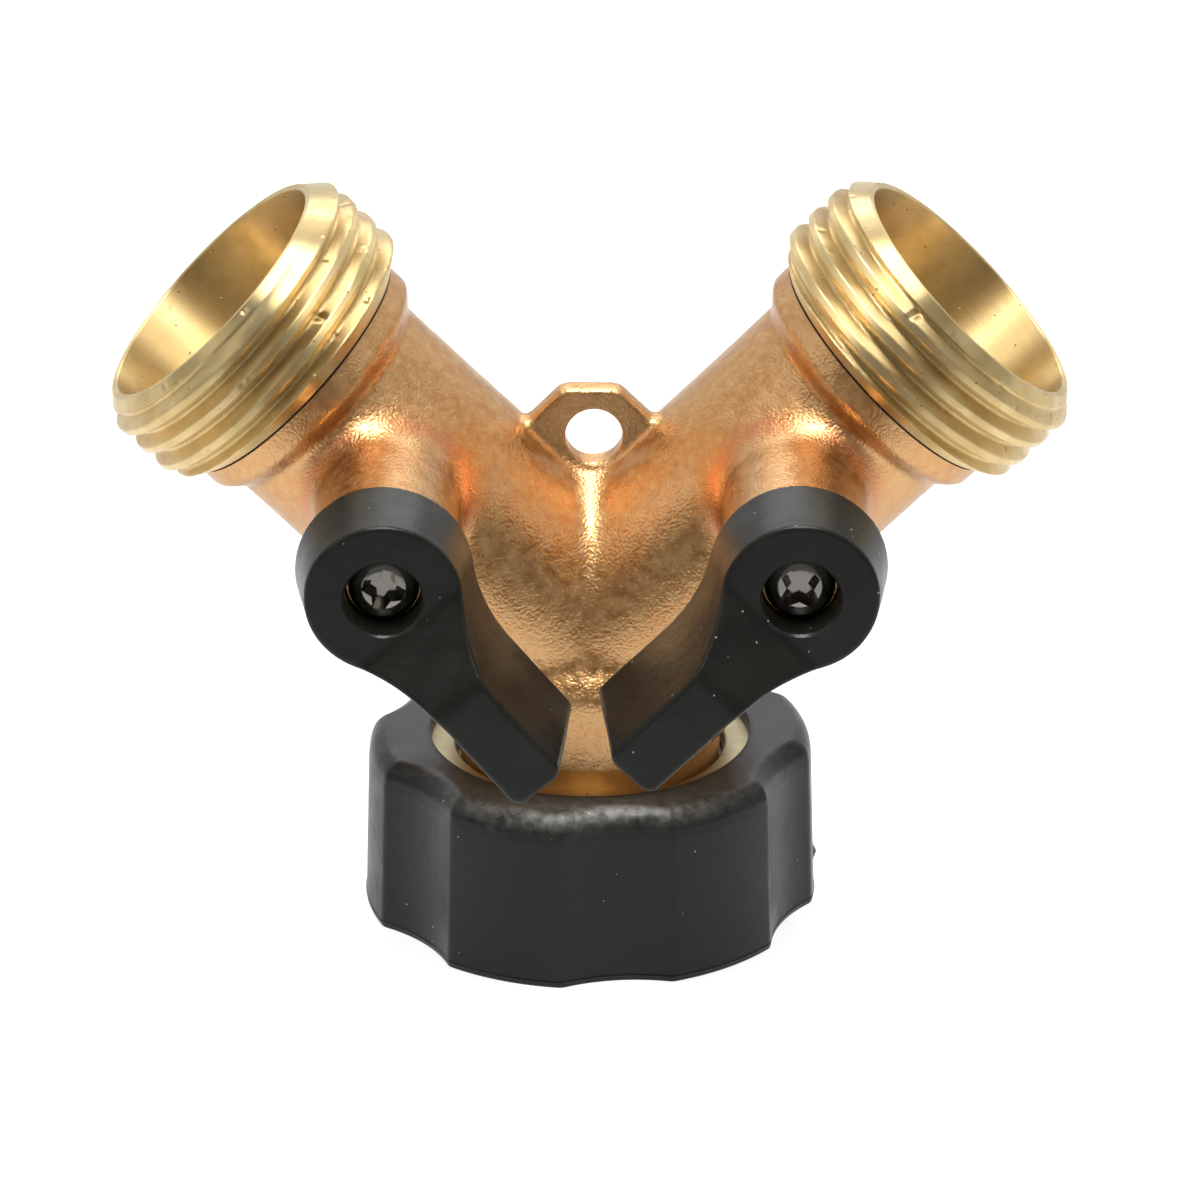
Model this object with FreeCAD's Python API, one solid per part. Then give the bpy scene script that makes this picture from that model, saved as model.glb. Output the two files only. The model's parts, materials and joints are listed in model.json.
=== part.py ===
"""Two-way garden hose splitter with a swivel inlet nut and two quarter-turn ball valves.

Units are millimetres. +Z is up, +X is the right-hand outlet's side and -Y is the front,
where the levers are. The origin is the centre of the inlet's mouth, on the nut's lower face.

Three frames are used:
  part frame   as above; the nut, the neck and the tab are built in it.
  arm frame    +Z runs out along an arm's axis from the junction, -Y is the front.
  stem frame   +Z runs out along a valve's stem from the ball's centre, +Y runs out along the
               arm, so a lever that is fully open points along -Y.
"""
import FreeCAD, Part
import math
import os

Vector = FreeCAD.Vector
SIDES = {"left": -1, "right": 1}

# ---- hose thread, 3/4 inch, 11.5 threads to the inch
PITCH = 25.4 / 11.5
MALE_CREST_R = 13.45
MALE_ROOT_R = 12.05
FEMALE_CREST_R = 12.45
FEMALE_ROOT_R = 13.60
MALE_CREST_FLAT = PITCH / 8
FEMALE_CREST_FLAT = PITCH / 4
FLANK = math.tan(math.radians(30))

# ---- layout
JUNCTION_Z = 23.70          # height at which the two arms' axes meet
ARM_ANGLE = 45.0            # each arm's lean from vertical
VALVE_S = 23.63             # ball centre, along the arm from the junction
SEAM_S = 34.70              # the casting's end face, where the outlet fitting's seal shows
MOUTH_S = 44.26             # outlet's end face
REST_TURN = {"left": 5.0, "right": 0.0}  # how far each lever stands from fully open, degrees

# ---- casting
ARM_R = 10.00
COLLAR_R = 11.45
COLLAR_LENGTH = 3.80
COLLAR_TAPER = 2.20
NECK_CAST_R = 11.80
NECK_TURNED_R = 10.95
NECK_END_Z = 10.80          # lower end of the neck
NECK_CAST_Z = 16.70         # edge between the turned and the cast neck
NECK_TOP_Z = 23.30          # where the cast neck starts to lean back into the arms
NECK_TOP_RUN = 4.00
NECK_TOP_R = 8.60
NECK_BORE_R = 8.00
ARM_PASSAGE_R = 6.00
CHAMBER_R = 7.90
CHAMBER_START_S = 16.70
ARM_THREAD_R = 8.72
ARM_THREAD_START_S = 27.60
SEAL_GROOVE_R = 10.25
SEAL_GROOVE_DEPTH = 1.10
BOSS_R = 5.90
BOSS_END_T = 23.20          # boss face, along the stem from the ball's centre
BOSS_BLEND = 1.60

# ---- hanging tab, cast with the body
TAB_X = 0.05
TAB_HOLE_X = 0.33           # the hole is drilled a little off the tab's middle
TAB_THICKNESS = 2.00
TAB_HOLE_R = 2.39
TAB_HOLE_Z = JUNCTION_Z + 18.60
TAB_TOP_Z = JUNCTION_Z + 22.80
TAB_TOP_HALF = 2.36
TAB_HALF = 5.85
TAB_ROOT_Z = JUNCTION_Z + 10.0

# ---- outlet fitting
OUTLET_BORE_R = 11.15
OUTLET_FLOOR_S = 36.20
OUTLET_COLLAR_R = 11.60
OUTLET_WAY_R = 6.50
SPIGOT_R = 8.68
SPIGOT_START_S = 27.80
SEAT_POCKET_R = 7.82
SEAT_POCKET_END_S = 30.55
MALE_FIRST_CREST = 2.40     # from the end face to the first crest's middle
MALE_CRESTS = 4
MOUTH_CHAMFER = 0.30

# ---- ball and seats
BALL_R = 7.50
PORT_R = 4.80
SEAT_IN_R = 5.30
SEAT_OUT_R = 7.80
SEAT_FACE = 3.60            # seat's ball-side face, from the ball's centre
SEAT_BACK = 6.88            # seat's far face, from the ball's centre
SEAT_GAP = 0.10
SLOT_WIDTH = 2.20
SLOT_FLOOR_T = 5.50
SLOT_LENGTH = 11.0

# ---- stem, along its axis from the ball's centre
TANG_WIDTH = 2.00
TANG_LENGTH = 6.00
TANG_END_T = 5.60
NOSE_START_T = 7.80
NOSE_R = 3.30
NOSE_BORE_R = 3.38
LAND_START_T = 11.35
LAND_R = 4.25
LAND_BORE_R = 4.30
LAND_BORE_START_T = 11.25
SHOULDER_T = 19.20
SHANK_R = 3.00
STEM_END_T = 25.90
FLATS_START_T = 23.60
FLAT_HALF = 2.20
TAP_R = 1.50
TAP_DEPTH_T = 18.00
RING_T = (13.20, 16.60)     # the two stem O-rings' middles
RING_SECTION_R = 0.55
RING_MID_R = 3.68
RING_GROOVE_R = 3.12
RING_GROOVE_HALF = 0.75

# ---- gland and thrust washer
GLAND_R = 4.63
GLAND_BORE_R = 3.06
GLAND_THREAD_R = 4.66
GLAND_START_T = 19.95
GLAND_END_T = 23.10
THRUST_START_T = 19.25
THRUST_END_T = 19.90
THRUST_IN_R = 3.10
THRUST_OUT_R = 4.20

# ---- lever
LEVER_BACK_T = 23.50
HUB_FACE_T = 29.85
BLADE_FACE_T = 33.90
HUB_BACK_R = 7.22
BLADE_BACK_HALF = 3.87
WAIST_R = 13.60             # concave curve from hub to blade
BLADE_END_U = 19.55         # blade's end, from the stem's axis
DRAFT = math.tan(math.radians(8.0))
RAMP_START_U = 3.30
RAMP_END_U = 9.40
TIP_CHAMFER = 0.60
RECESS_R = 3.15
RECESS_FLOOR_T = 26.00
SOCKET_CLEARANCE = 0.04

# ---- quarter-turn stop: a lug on the boss runs in a groove in the hub's back
LUG_IN_R = 4.95
LUG_OUT_R = 5.75
LUG_END_T = 24.60
LUG_HALF_ANGLE = 18.0
GROOVE_IN_R = 4.75
GROOVE_OUT_R = 5.98
GROOVE_END_T = 25.00
STOP_MARGIN = 1.0
QUARTER = 90.0

# ---- lever screw, M3 pan head, and its washer
SCREW_R = 1.45
SCREW_TIP_T = 18.60
SCREW_HEAD_R = 2.85
SCREW_HEAD_CROWN_R = 1.90
WASHER_R = 3.02
WASHER_HOLE_R = 1.62
WASHER_END_T = 26.50
HEAD_EDGE_T = 27.10
HEAD_TOP_T = 27.88
CROSS_WIDTH = 1.05
CROSS_SPAN = 4.00
CROSS_DEPTH = 1.15

# ---- swivel nut
NUT_HEIGHT = 15.30
NUT_FLUTES = 6
NUT_R = 19.10               # the round lobes between the flutes
NUT_FLUTE_R = 17.68         # to the bottom of a flute, from the nut's axis
NUT_FLUTE_HALF = 14.25      # half the angle that a flute spans, degrees
NUT_TURN = 6.8              # the front flute's middle, degrees from -Y towards +X
NUT_EDGE = 1.10
GRIP_BORE_R = 15.00
GRIP_TOP_R = 13.40
INSERT_R = 14.97
INSERT_TOP_Z = 14.15
LIP_R = 11.30
LIP_Z = 12.60
INSERT_CAVITY_R = 13.20
FEMALE_FIRST_CREST_Z = 0.50
FEMALE_CRESTS = 3
INSERT_MOUTH_CHAMFER = 0.15

# ---- snap ring and hose washer
CLIP_IN_R = 10.45
CLIP_OUT_R = 12.60
CLIP_Z = (11.30, 12.40)
CLIP_GROOVE_R = 10.40
CLIP_GROOVE_Z = (11.25, 12.45)
CLIP_GAP_ANGLE = 40.0
HOSE_WASHER_IN_R = 7.90
HOSE_WASHER_OUT_R = 12.70
HOSE_WASHER_Z = (7.60, 10.60)

# ---- outlet seal, a ring under the fitting's shoulder with a thin lip out to the seam
SEAL_IN_R = 8.75
SEAL_OUT_R = 10.20
SEAL_START_S = SEAM_S - 1.05
SEAL_LIP_R = 11.30
SHOULDER_S = SEAM_S + 0.22  # the outlet fitting's shoulder, on the seal's lip


def cylinder(radius, low, high):
    """A solid cylinder on the Z axis between two heights."""
    return Part.makeCylinder(radius, high - low, Vector(0, 0, low))


def tube(inner, outer, low, high):
    """A plain ring on the Z axis."""
    return cylinder(outer, low, high).cut(cylinder(inner, low, high))


def polygon_face(points):
    """A flat face inside a closed run of straight edges."""
    return Part.Face(Part.makePolygon([Vector(*p) for p in points + points[:1]]))


def revolved(profile):
    """The solid made by turning an (r, z) outline about the Z axis."""
    face = polygon_face([(r, 0, z) for r, z in profile])
    return face.revolve(Vector(0, 0, 0), Vector(0, 0, 1), 360)


def thread_ridges(crests, crest_r, root_r, crest_flat):
    """(r, z) points of a thread's ridges, each a full ring, from the lowest up."""
    half_crest = crest_flat / 2
    half_base = half_crest + abs(crest_r - root_r) * FLANK
    points = []
    for middle in crests:
        points += [
            (root_r, middle - half_base),
            (crest_r, middle - half_crest),
            (crest_r, middle + half_crest),
            (root_r, middle + half_base),
        ]
    return points


def sector(inner, outer, low, high, start, end):
    """Part of a ring between two angles, counter-clockwise from the X axis."""
    turn = end - start
    wedge = Part.makeCylinder(outer, high - low, Vector(0, 0, low), Vector(0, 0, 1), turn)
    wedge.rotate(Vector(0, 0, 0), Vector(0, 0, 1), start)
    return wedge.cut(cylinder(inner, low, high))


def in_arm(shape, side):
    """Move a shape from the arm frame to the part frame."""
    shape.rotate(Vector(0, 0, 0), Vector(0, 1, 0), SIDES[side] * ARM_ANGLE)
    shape.translate(Vector(0, 0, JUNCTION_Z))
    return shape


def in_stem(shape, side, turns=False):
    """Move a shape from the stem frame to the part frame, with its lever's rest turn."""
    if turns:
        shape.rotate(Vector(0, 0, 0), Vector(0, 0, 1), SIDES[side] * REST_TURN[side])
    shape.rotate(Vector(0, 0, 0), Vector(1, 0, 0), 90)
    shape.translate(Vector(0, 0, VALVE_S))
    return in_arm(shape, side)


def stop_angles(side):
    """The lug's middle, and the groove's two ends in a fully open lever, in degrees."""
    middle = 90.0
    sweep = SIDES[side] * QUARTER
    ends = sorted((middle, middle - sweep))
    reach = LUG_HALF_ANGLE + STOP_MARGIN
    return middle, ends[0] - reach, ends[1] + reach


def hanging_tab():
    """The flat tab between the arms, without its hole."""
    slope = TAB_HALF - TAB_TOP_HALF
    outline = [
        (TAB_X - TAB_HALF, TAB_ROOT_Z),
        (TAB_X + TAB_HALF, TAB_ROOT_Z),
        (TAB_X + TAB_HALF, TAB_TOP_Z - slope),
        (TAB_X + TAB_TOP_HALF, TAB_TOP_Z),
        (TAB_X - TAB_TOP_HALF, TAB_TOP_Z),
        (TAB_X - TAB_HALF, TAB_TOP_Z - slope),
    ]
    face = polygon_face([(x, -TAB_THICKNESS / 2, z) for x, z in outline])
    return face.extrude(Vector(0, TAB_THICKNESS, 0))


def neck_outside():
    """The neck: turned below, cast above, leaning back into the arms at its top."""
    return revolved([
        (0, NECK_END_Z),
        (NECK_TURNED_R, NECK_END_Z),
        (NECK_TURNED_R, NECK_CAST_Z),
        (NECK_CAST_R, NECK_CAST_Z),
        (NECK_CAST_R, NECK_TOP_Z),
        (NECK_TOP_R, NECK_TOP_Z + NECK_TOP_RUN),
        (0, NECK_TOP_Z + NECK_TOP_RUN),
    ])


def arm_outside(side):
    """One arm with its collar and its stem boss."""
    collar_start = SEAM_S - COLLAR_LENGTH
    arm = revolved([
        (0, 0),
        (ARM_R, 0),
        (ARM_R, collar_start),
        (COLLAR_R, collar_start + COLLAR_TAPER),
        (COLLAR_R, SEAM_S),
        (0, SEAM_S),
    ])
    boss = cylinder(BOSS_R, 0, BOSS_END_T)
    boss.rotate(Vector(0, 0, 0), Vector(1, 0, 0), 90)
    boss.translate(Vector(0, 0, VALVE_S))
    joined = arm.fuse(boss)
    meeting = [e for e in joined.Edges if runs_round_boss(e)]
    return in_arm(joined.makeFillet(BOSS_BLEND, meeting), side)


def runs_round_boss(edge):
    """Whether every point of an edge in the arm frame is where the boss meets the arm."""
    for point in edge.discretize(9):
        across = math.hypot(point.x, point.z - VALVE_S)
        around = math.hypot(point.x, point.y)
        if abs(across - BOSS_R) > 0.01 or abs(around - ARM_R) > 0.01:
            return False
    return True


def arm_inside(side):
    """The hollows of one arm: passage, ball chamber, outlet thread, seal groove, stem bore."""
    arm = cylinder(ARM_PASSAGE_R, 0, CHAMBER_START_S + 1)
    arm = arm.fuse(cylinder(CHAMBER_R, CHAMBER_START_S, ARM_THREAD_START_S))
    arm = arm.fuse(cylinder(ARM_THREAD_R, ARM_THREAD_START_S, SEAM_S + 1))
    arm = arm.fuse(cylinder(SEAL_GROOVE_R, SEAM_S - SEAL_GROOVE_DEPTH, SEAM_S + 1))
    stem = cylinder(NOSE_BORE_R, 0, LAND_BORE_START_T)
    stem = stem.fuse(cylinder(LAND_BORE_R, LAND_BORE_START_T, GLAND_START_T))
    stem = stem.fuse(cylinder(GLAND_THREAD_R, GLAND_START_T, BOSS_END_T + 1))
    return in_arm(arm, side).fuse(in_stem(stem, side))


def stop_lug(side):
    """The lug on the boss's face that limits the lever to a quarter turn."""
    middle = stop_angles(side)[0]
    low, high = middle - LUG_HALF_ANGLE, middle + LUG_HALF_ANGLE
    return in_stem(sector(LUG_IN_R, LUG_OUT_R, BOSS_END_T - 0.5, LUG_END_T, low, high), side)


def casting():
    """The Y body: neck, arms, bosses and tab in one piece."""
    body = neck_outside().fuse(Part.makeSphere(ARM_R, Vector(0, 0, JUNCTION_Z)))
    for side in SIDES:
        body = body.fuse(arm_outside(side))
    body = body.fuse(hanging_tab())
    body = body.cut(cylinder(NECK_BORE_R, NECK_END_Z - 1, JUNCTION_Z))
    body = body.cut(Part.makeSphere(NECK_BORE_R, Vector(0, 0, JUNCTION_Z)))
    body = body.cut(tube(CLIP_GROOVE_R, NECK_CAST_R, *CLIP_GROOVE_Z))
    for side in SIDES:
        body = body.cut(arm_inside(side))
    hole = Part.makeCylinder(
        TAB_HOLE_R, 2 * TAB_THICKNESS, Vector(TAB_HOLE_X, -TAB_THICKNESS, TAB_HOLE_Z), Vector(0, 1, 0)
    )
    body = body.cut(hole)
    for side in SIDES:
        body = body.fuse(stop_lug(side))
    return body.removeSplitter()


def outlet(side):
    """Outlet fitting: a male hose thread that runs out at the shoulder, and a spigot in the arm."""
    first = MOUTH_S - MALE_FIRST_CREST
    crests = [first - PITCH * i for i in reversed(range(MALE_CRESTS))]
    thread = thread_ridges(crests, MALE_CREST_R, MALE_ROOT_R, MALE_CREST_FLAT)
    profile = [
        (SEAT_POCKET_R, SPIGOT_START_S),
        (SPIGOT_R, SPIGOT_START_S),
        (SPIGOT_R, SHOULDER_S),
        (OUTLET_COLLAR_R, SHOULDER_S),
        *thread[1:],
        (MALE_ROOT_R, MOUTH_S - MOUTH_CHAMFER),
        (MALE_ROOT_R - MOUTH_CHAMFER, MOUTH_S),
        (OUTLET_BORE_R + MOUTH_CHAMFER / 2, MOUTH_S),
        (OUTLET_BORE_R, MOUTH_S - MOUTH_CHAMFER / 2),
        (OUTLET_BORE_R, OUTLET_FLOOR_S + 1),
        (OUTLET_BORE_R - 1, OUTLET_FLOOR_S),
        (OUTLET_WAY_R, OUTLET_FLOOR_S),
        (OUTLET_WAY_R, SEAT_POCKET_END_S),
        (SEAT_POCKET_R, SEAT_POCKET_END_S),
    ]
    return in_arm(revolved(profile), side)


def outlet_seal(side):
    """The seal in the casting's groove, whose lip lies under the outlet fitting's shoulder."""
    ring = revolved([
        (SEAL_IN_R, SEAL_START_S),
        (SEAL_OUT_R, SEAL_START_S),
        (SEAL_OUT_R, SEAM_S),
        (SEAL_LIP_R, SEAM_S),
        (SEAL_LIP_R, SHOULDER_S),
        (SEAL_IN_R, SHOULDER_S),
    ])
    return in_arm(ring, side)


def seat(side, outward):
    """A ring of seat plastic whose ball side is hollowed to the ball."""
    low, high = sorted((outward * SEAT_FACE, outward * SEAT_BACK))
    ring = tube(SEAT_IN_R, SEAT_OUT_R, low, high).cut(Part.makeSphere(BALL_R + SEAT_GAP))
    ring.translate(Vector(0, 0, VALVE_S))
    return in_arm(ring, side)


def ball(side):
    """The ball, in the stem frame: its port runs along Y and its slot along X."""
    port = cylinder(PORT_R, -BALL_R - 1, BALL_R + 1)
    port.rotate(Vector(0, 0, 0), Vector(1, 0, 0), 90)
    slot = Part.makeBox(
        SLOT_LENGTH, SLOT_WIDTH, BALL_R, Vector(-SLOT_LENGTH / 2, -SLOT_WIDTH / 2, SLOT_FLOOR_T)
    )
    shape = Part.makeSphere(BALL_R).cut(port).cut(slot)
    return in_stem(shape, side, turns=True)


def between_flats(shape, half, low, high):
    """Trim a shaft to two flats, one each side of the XZ plane, between two heights."""
    for sign in (-1, 1):
        y = half if sign > 0 else -half - SHANK_R
        shape = shape.cut(
            Part.makeBox(4 * SHANK_R, SHANK_R, high - low, Vector(-2 * SHANK_R, y, low))
        )
    return shape


def stem(side):
    """The stem: tang, nose, O-ring land, shank, and flats that drive the lever."""
    profile = [(0, NOSE_START_T), (NOSE_R, NOSE_START_T), (NOSE_R, LAND_START_T), (LAND_R, LAND_START_T)]
    for middle in RING_T:
        low, high = middle - RING_GROOVE_HALF, middle + RING_GROOVE_HALF
        profile += [(LAND_R, low), (RING_GROOVE_R, low), (RING_GROOVE_R, high), (LAND_R, high)]
    profile += [
        (LAND_R, SHOULDER_T),
        (SHANK_R, SHOULDER_T),
        (SHANK_R, STEM_END_T),
        (TAP_R, STEM_END_T),
        (TAP_R, TAP_DEPTH_T),
        (0, TAP_DEPTH_T),
    ]
    shape = between_flats(revolved(profile), FLAT_HALF, FLATS_START_T, STEM_END_T)
    tang = Part.makeBox(
        TANG_LENGTH,
        TANG_WIDTH,
        NOSE_START_T - TANG_END_T + 0.5,
        Vector(-TANG_LENGTH / 2, -TANG_WIDTH / 2, TANG_END_T),
    )
    return in_stem(shape.fuse(tang), side, turns=True)


def stem_seals(side):
    """The two O-rings on the stem."""
    rings = [Part.makeTorus(RING_MID_R, RING_SECTION_R, Vector(0, 0, t)) for t in RING_T]
    return in_stem(Part.makeCompound(rings), side, turns=True)


def thrust_washer(side):
    """The low-friction washer between the stem's shoulder and the gland."""
    return in_stem(tube(THRUST_IN_R, THRUST_OUT_R, THRUST_START_T, THRUST_END_T), side, turns=True)


def gland(side):
    """The threaded bush that keeps the stem in its boss."""
    return in_stem(tube(GLAND_BORE_R, GLAND_R, GLAND_START_T, GLAND_END_T), side)


def lever_outline(inset, height):
    """The lever's outline at one height: hub, two concave waists and a straight blade."""
    hub = HUB_BACK_R - inset
    half = BLADE_BACK_HALF - inset
    waist = WAIST_R + inset
    foot = math.sqrt((hub + waist) ** 2 - (half + waist) ** 2)
    reach = math.atan2(half + waist, foot)
    chamfer = TIP_CHAMFER

    def at(u, v):
        return Vector(v, -u, height)

    def waist_arc(sign):
        centre_u, centre_v = foot, half + waist
        mid = (reach + math.pi / 2) / 2
        return (
            at(hub * math.cos(reach), sign * hub * math.sin(reach)),
            at(centre_u - waist * math.cos(mid), sign * (centre_v - waist * math.sin(mid))),
            at(foot, sign * half),
        )

    upper, lower = waist_arc(1), waist_arc(-1)
    tip = [
        at(BLADE_END_U - chamfer, half),
        at(BLADE_END_U, half - chamfer),
        at(BLADE_END_U, -half + chamfer),
        at(BLADE_END_U - chamfer, -half),
    ]
    edges = [
        Part.Arc(lower[0], at(-hub, 0), upper[0]).toShape(),
        Part.Arc(*upper).toShape(),
        Part.makeLine(upper[2], tip[0]),
        Part.makeLine(tip[0], tip[1]),
        Part.makeLine(tip[1], tip[2]),
        Part.makeLine(tip[2], tip[3]),
        Part.makeLine(tip[3], lower[2]),
        Part.Arc(lower[2], lower[1], lower[0]).toShape(),
    ]
    return Part.Wire(edges)


def lever_blank():
    """The lever's outside, in the stem frame: drafted sides and a front that ramps up."""
    depth = BLADE_FACE_T - LEVER_BACK_T
    blank = Part.makeLoft(
        [lever_outline(0, LEVER_BACK_T), lever_outline(depth * DRAFT, BLADE_FACE_T)], True, True
    )
    far = 2 * HUB_BACK_R
    above = BLADE_FACE_T + 1
    ramp_slope = (BLADE_FACE_T - HUB_FACE_T) / (RAMP_END_U - RAMP_START_U)
    over_run = RAMP_END_U + 1 / ramp_slope
    waste = polygon_face([
        (-far, far, HUB_FACE_T),
        (-far, -RAMP_START_U, HUB_FACE_T),
        (-far, -over_run, above),
        (-far, far, above),
    ]).extrude(Vector(2 * far, 0, 0))
    return blank.cut(waste)


def lever(side):
    """Lever with its screw recess, its double-D socket and the stop's groove."""
    shape = lever_blank()
    shape = shape.cut(cylinder(RECESS_R, RECESS_FLOOR_T, HUB_FACE_T + 1))
    socket = cylinder(SHANK_R + SOCKET_CLEARANCE, LEVER_BACK_T - 1, RECESS_FLOOR_T + 0.5)
    flats = FLAT_HALF + SOCKET_CLEARANCE
    shape = shape.cut(between_flats(socket, flats, LEVER_BACK_T - 1, RECESS_FLOOR_T + 0.5))
    low, high = stop_angles(side)[1:]
    groove = sector(GROOVE_IN_R, GROOVE_OUT_R, LEVER_BACK_T - 1, GROOVE_END_T, low, high)
    return in_stem(shape.cut(groove), side, turns=True)


def lever_washer(side):
    """The plain washer under the screw's head."""
    return in_stem(tube(WASHER_HOLE_R, WASHER_R, RECESS_FLOOR_T, WASHER_END_T), side, turns=True)


def lever_screw(side):
    """M3 pan-head screw with a cross recess."""
    shape = revolved([
        (0, SCREW_TIP_T),
        (SCREW_R * 0.5, SCREW_TIP_T),
        (SCREW_R, SCREW_TIP_T + SCREW_R * 0.5),
        (SCREW_R, WASHER_END_T),
        (SCREW_HEAD_R, WASHER_END_T),
        (SCREW_HEAD_R, HEAD_EDGE_T),
        (SCREW_HEAD_CROWN_R, HEAD_TOP_T),
        (0, HEAD_TOP_T),
    ])
    for length, width in ((CROSS_SPAN, CROSS_WIDTH), (CROSS_WIDTH, CROSS_SPAN)):
        corner = Vector(-length / 2, -width / 2, HEAD_TOP_T - CROSS_DEPTH)
        shape = shape.cut(Part.makeBox(length, width, CROSS_DEPTH + 1, corner))
    return in_stem(shape, side, turns=True)


def grip_outline():
    """The nut's grip outline: round lobes with shallow flutes between them."""
    step = 2 * math.pi / NUT_FLUTES
    half = math.radians(NUT_FLUTE_HALF)
    first = math.radians(NUT_TURN - 90)

    def at(radius, angle):
        return Vector(radius * math.cos(angle), radius * math.sin(angle), 0)

    edges = []
    for i in range(NUT_FLUTES):
        middle = first + i * step
        start, end = at(NUT_R, middle - half), at(NUT_R, middle + half)
        edges.append(Part.Arc(start, at(NUT_FLUTE_R, middle), end).toShape())
        next_start = at(NUT_R, middle + step - half)
        edges.append(Part.Arc(end, at(NUT_R, middle + step / 2), next_start).toShape())
    return Part.Wire(edges)


def nut_grip():
    """The plastic grip moulded over the nut's brass insert."""
    grip = Part.Face(grip_outline()).extrude(Vector(0, 0, NUT_HEIGHT))
    rim = [e for e in grip.Edges if all(abs(v.Z - NUT_HEIGHT) < 0.01 for v in e.Vertexes)]
    grip = grip.makeChamfer(NUT_EDGE * 0.6, rim)
    grip = grip.cut(cylinder(GRIP_BORE_R, -1, INSERT_TOP_Z))
    return grip.cut(cylinder(GRIP_TOP_R, INSERT_TOP_Z - 1, NUT_HEIGHT + 1))


def nut_insert():
    """The brass insert: a female hose thread below, an inward lip on top."""
    crests = [FEMALE_FIRST_CREST_Z + PITCH * i for i in range(FEMALE_CRESTS)]
    thread = thread_ridges(crests, FEMALE_CREST_R, FEMALE_ROOT_R, FEMALE_CREST_FLAT)
    mouth = (FEMALE_CREST_R + INSERT_MOUTH_CHAMFER, 0)
    profile = [
        mouth,
        (INSERT_R, 0),
        (INSERT_R, INSERT_TOP_Z),
        (LIP_R, INSERT_TOP_Z),
        (LIP_R, LIP_Z),
        (INSERT_CAVITY_R, LIP_Z),
        (INSERT_CAVITY_R, thread[-1][1]),
        *reversed(thread[1:]),
    ]
    return revolved(profile)


def snap_ring():
    """The split ring that holds the nut on the neck."""
    ring = tube(CLIP_IN_R, CLIP_OUT_R, *CLIP_Z)
    half_gap = CLIP_GAP_ANGLE / 2
    return ring.cut(sector(CLIP_IN_R - 1, CLIP_OUT_R + 1, *CLIP_Z, 90 - half_gap, 90 + half_gap))


def hose_washer():
    """The flat rubber washer in the inlet."""
    return tube(HOSE_WASHER_IN_R, HOSE_WASHER_OUT_R, *HOSE_WASHER_Z)


def nodes():
    """Every piece of the splitter by its node name."""
    pieces = {
        "casting": casting(),
        "nut_insert": nut_insert(),
        "nut_grip": nut_grip(),
        "neck_snap_ring": snap_ring(),
        "hose_washer": hose_washer(),
    }
    for side in SIDES:
        pieces.update({
            f"outlet_{side}": outlet(side),
            f"outlet_seal_{side}": outlet_seal(side),
            f"inner_seat_{side}": seat(side, -1),
            f"outer_seat_{side}": seat(side, 1),
            f"ball_{side}": ball(side),
            f"stem_{side}": stem(side),
            f"stem_seals_{side}": stem_seals(side),
            f"thrust_washer_{side}": thrust_washer(side),
            f"gland_{side}": gland(side),
            f"lever_{side}": lever(side),
            f"lever_washer_{side}": lever_washer(side),
            f"lever_screw_{side}": lever_screw(side),
        })
    return pieces


def main():
    """Write one STEP file for each node."""
    os.makedirs("parts", exist_ok=True)
    for name, shape in nodes().items():
        if not shape.isValid() or not shape.Solids:
            raise ValueError(f"{name} is not a valid solid")
        shape.exportStep(f"parts/{name}.step")
        box = shape.BoundBox
        print(f"{name}: {len(shape.Solids)} solid, {shape.Volume:.1f} mm3, "
              f"x {box.XMin:.2f}..{box.XMax:.2f} y {box.YMin:.2f}..{box.YMax:.2f} "
              f"z {box.ZMin:.2f}..{box.ZMax:.2f}")


main()
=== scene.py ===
"""The looks of the hose splitter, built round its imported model.

Shapes are worked out in millimetres and turned into metres when a piece is finished. Three
frames are used, as in the model:
  part frame   +Z up the inlet's axis, +X to the right-hand outlet, -Y to the levers' side.
  arm frame    +Z out along an arm from the junction of the two arms, -Y the front.
  stem frame   +Z out along a valve's stem from the ball's centre, +Y out along the arm.

A name's ending says what it measures: _R a radius, _Z a height, _S a place along an arm, _T a
place along a stem and _U a distance from the stem's axis towards a lever's tip.
"""
import json
import math

import bpy
import numpy as np
from mathutils import Matrix, Vector


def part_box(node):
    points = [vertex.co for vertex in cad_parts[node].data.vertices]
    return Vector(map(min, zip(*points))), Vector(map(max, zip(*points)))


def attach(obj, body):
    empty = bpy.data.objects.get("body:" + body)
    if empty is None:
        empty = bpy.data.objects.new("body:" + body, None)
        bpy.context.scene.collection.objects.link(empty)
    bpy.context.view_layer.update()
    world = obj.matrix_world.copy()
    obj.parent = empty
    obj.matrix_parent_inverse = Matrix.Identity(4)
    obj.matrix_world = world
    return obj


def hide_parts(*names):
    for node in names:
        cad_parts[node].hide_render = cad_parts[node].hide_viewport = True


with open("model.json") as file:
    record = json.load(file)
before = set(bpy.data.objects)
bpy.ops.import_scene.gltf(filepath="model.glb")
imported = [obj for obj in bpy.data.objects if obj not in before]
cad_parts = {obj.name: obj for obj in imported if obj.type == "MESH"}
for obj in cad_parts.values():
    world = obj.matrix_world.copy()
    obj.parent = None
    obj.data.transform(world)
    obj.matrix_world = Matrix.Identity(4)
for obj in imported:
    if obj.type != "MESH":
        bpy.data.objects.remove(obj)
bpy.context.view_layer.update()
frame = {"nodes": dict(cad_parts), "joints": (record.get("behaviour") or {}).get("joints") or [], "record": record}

MM = 0.001
TURN = 2 * math.pi
SIDES = {"left": -1, "right": 1}
RECORD = frame["record"]
JOINTS = {joint["name"]: joint for joint in frame["joints"]}
MOUNTS = {mount["name"]: mount for mount in RECORD["mounts"]}

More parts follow.
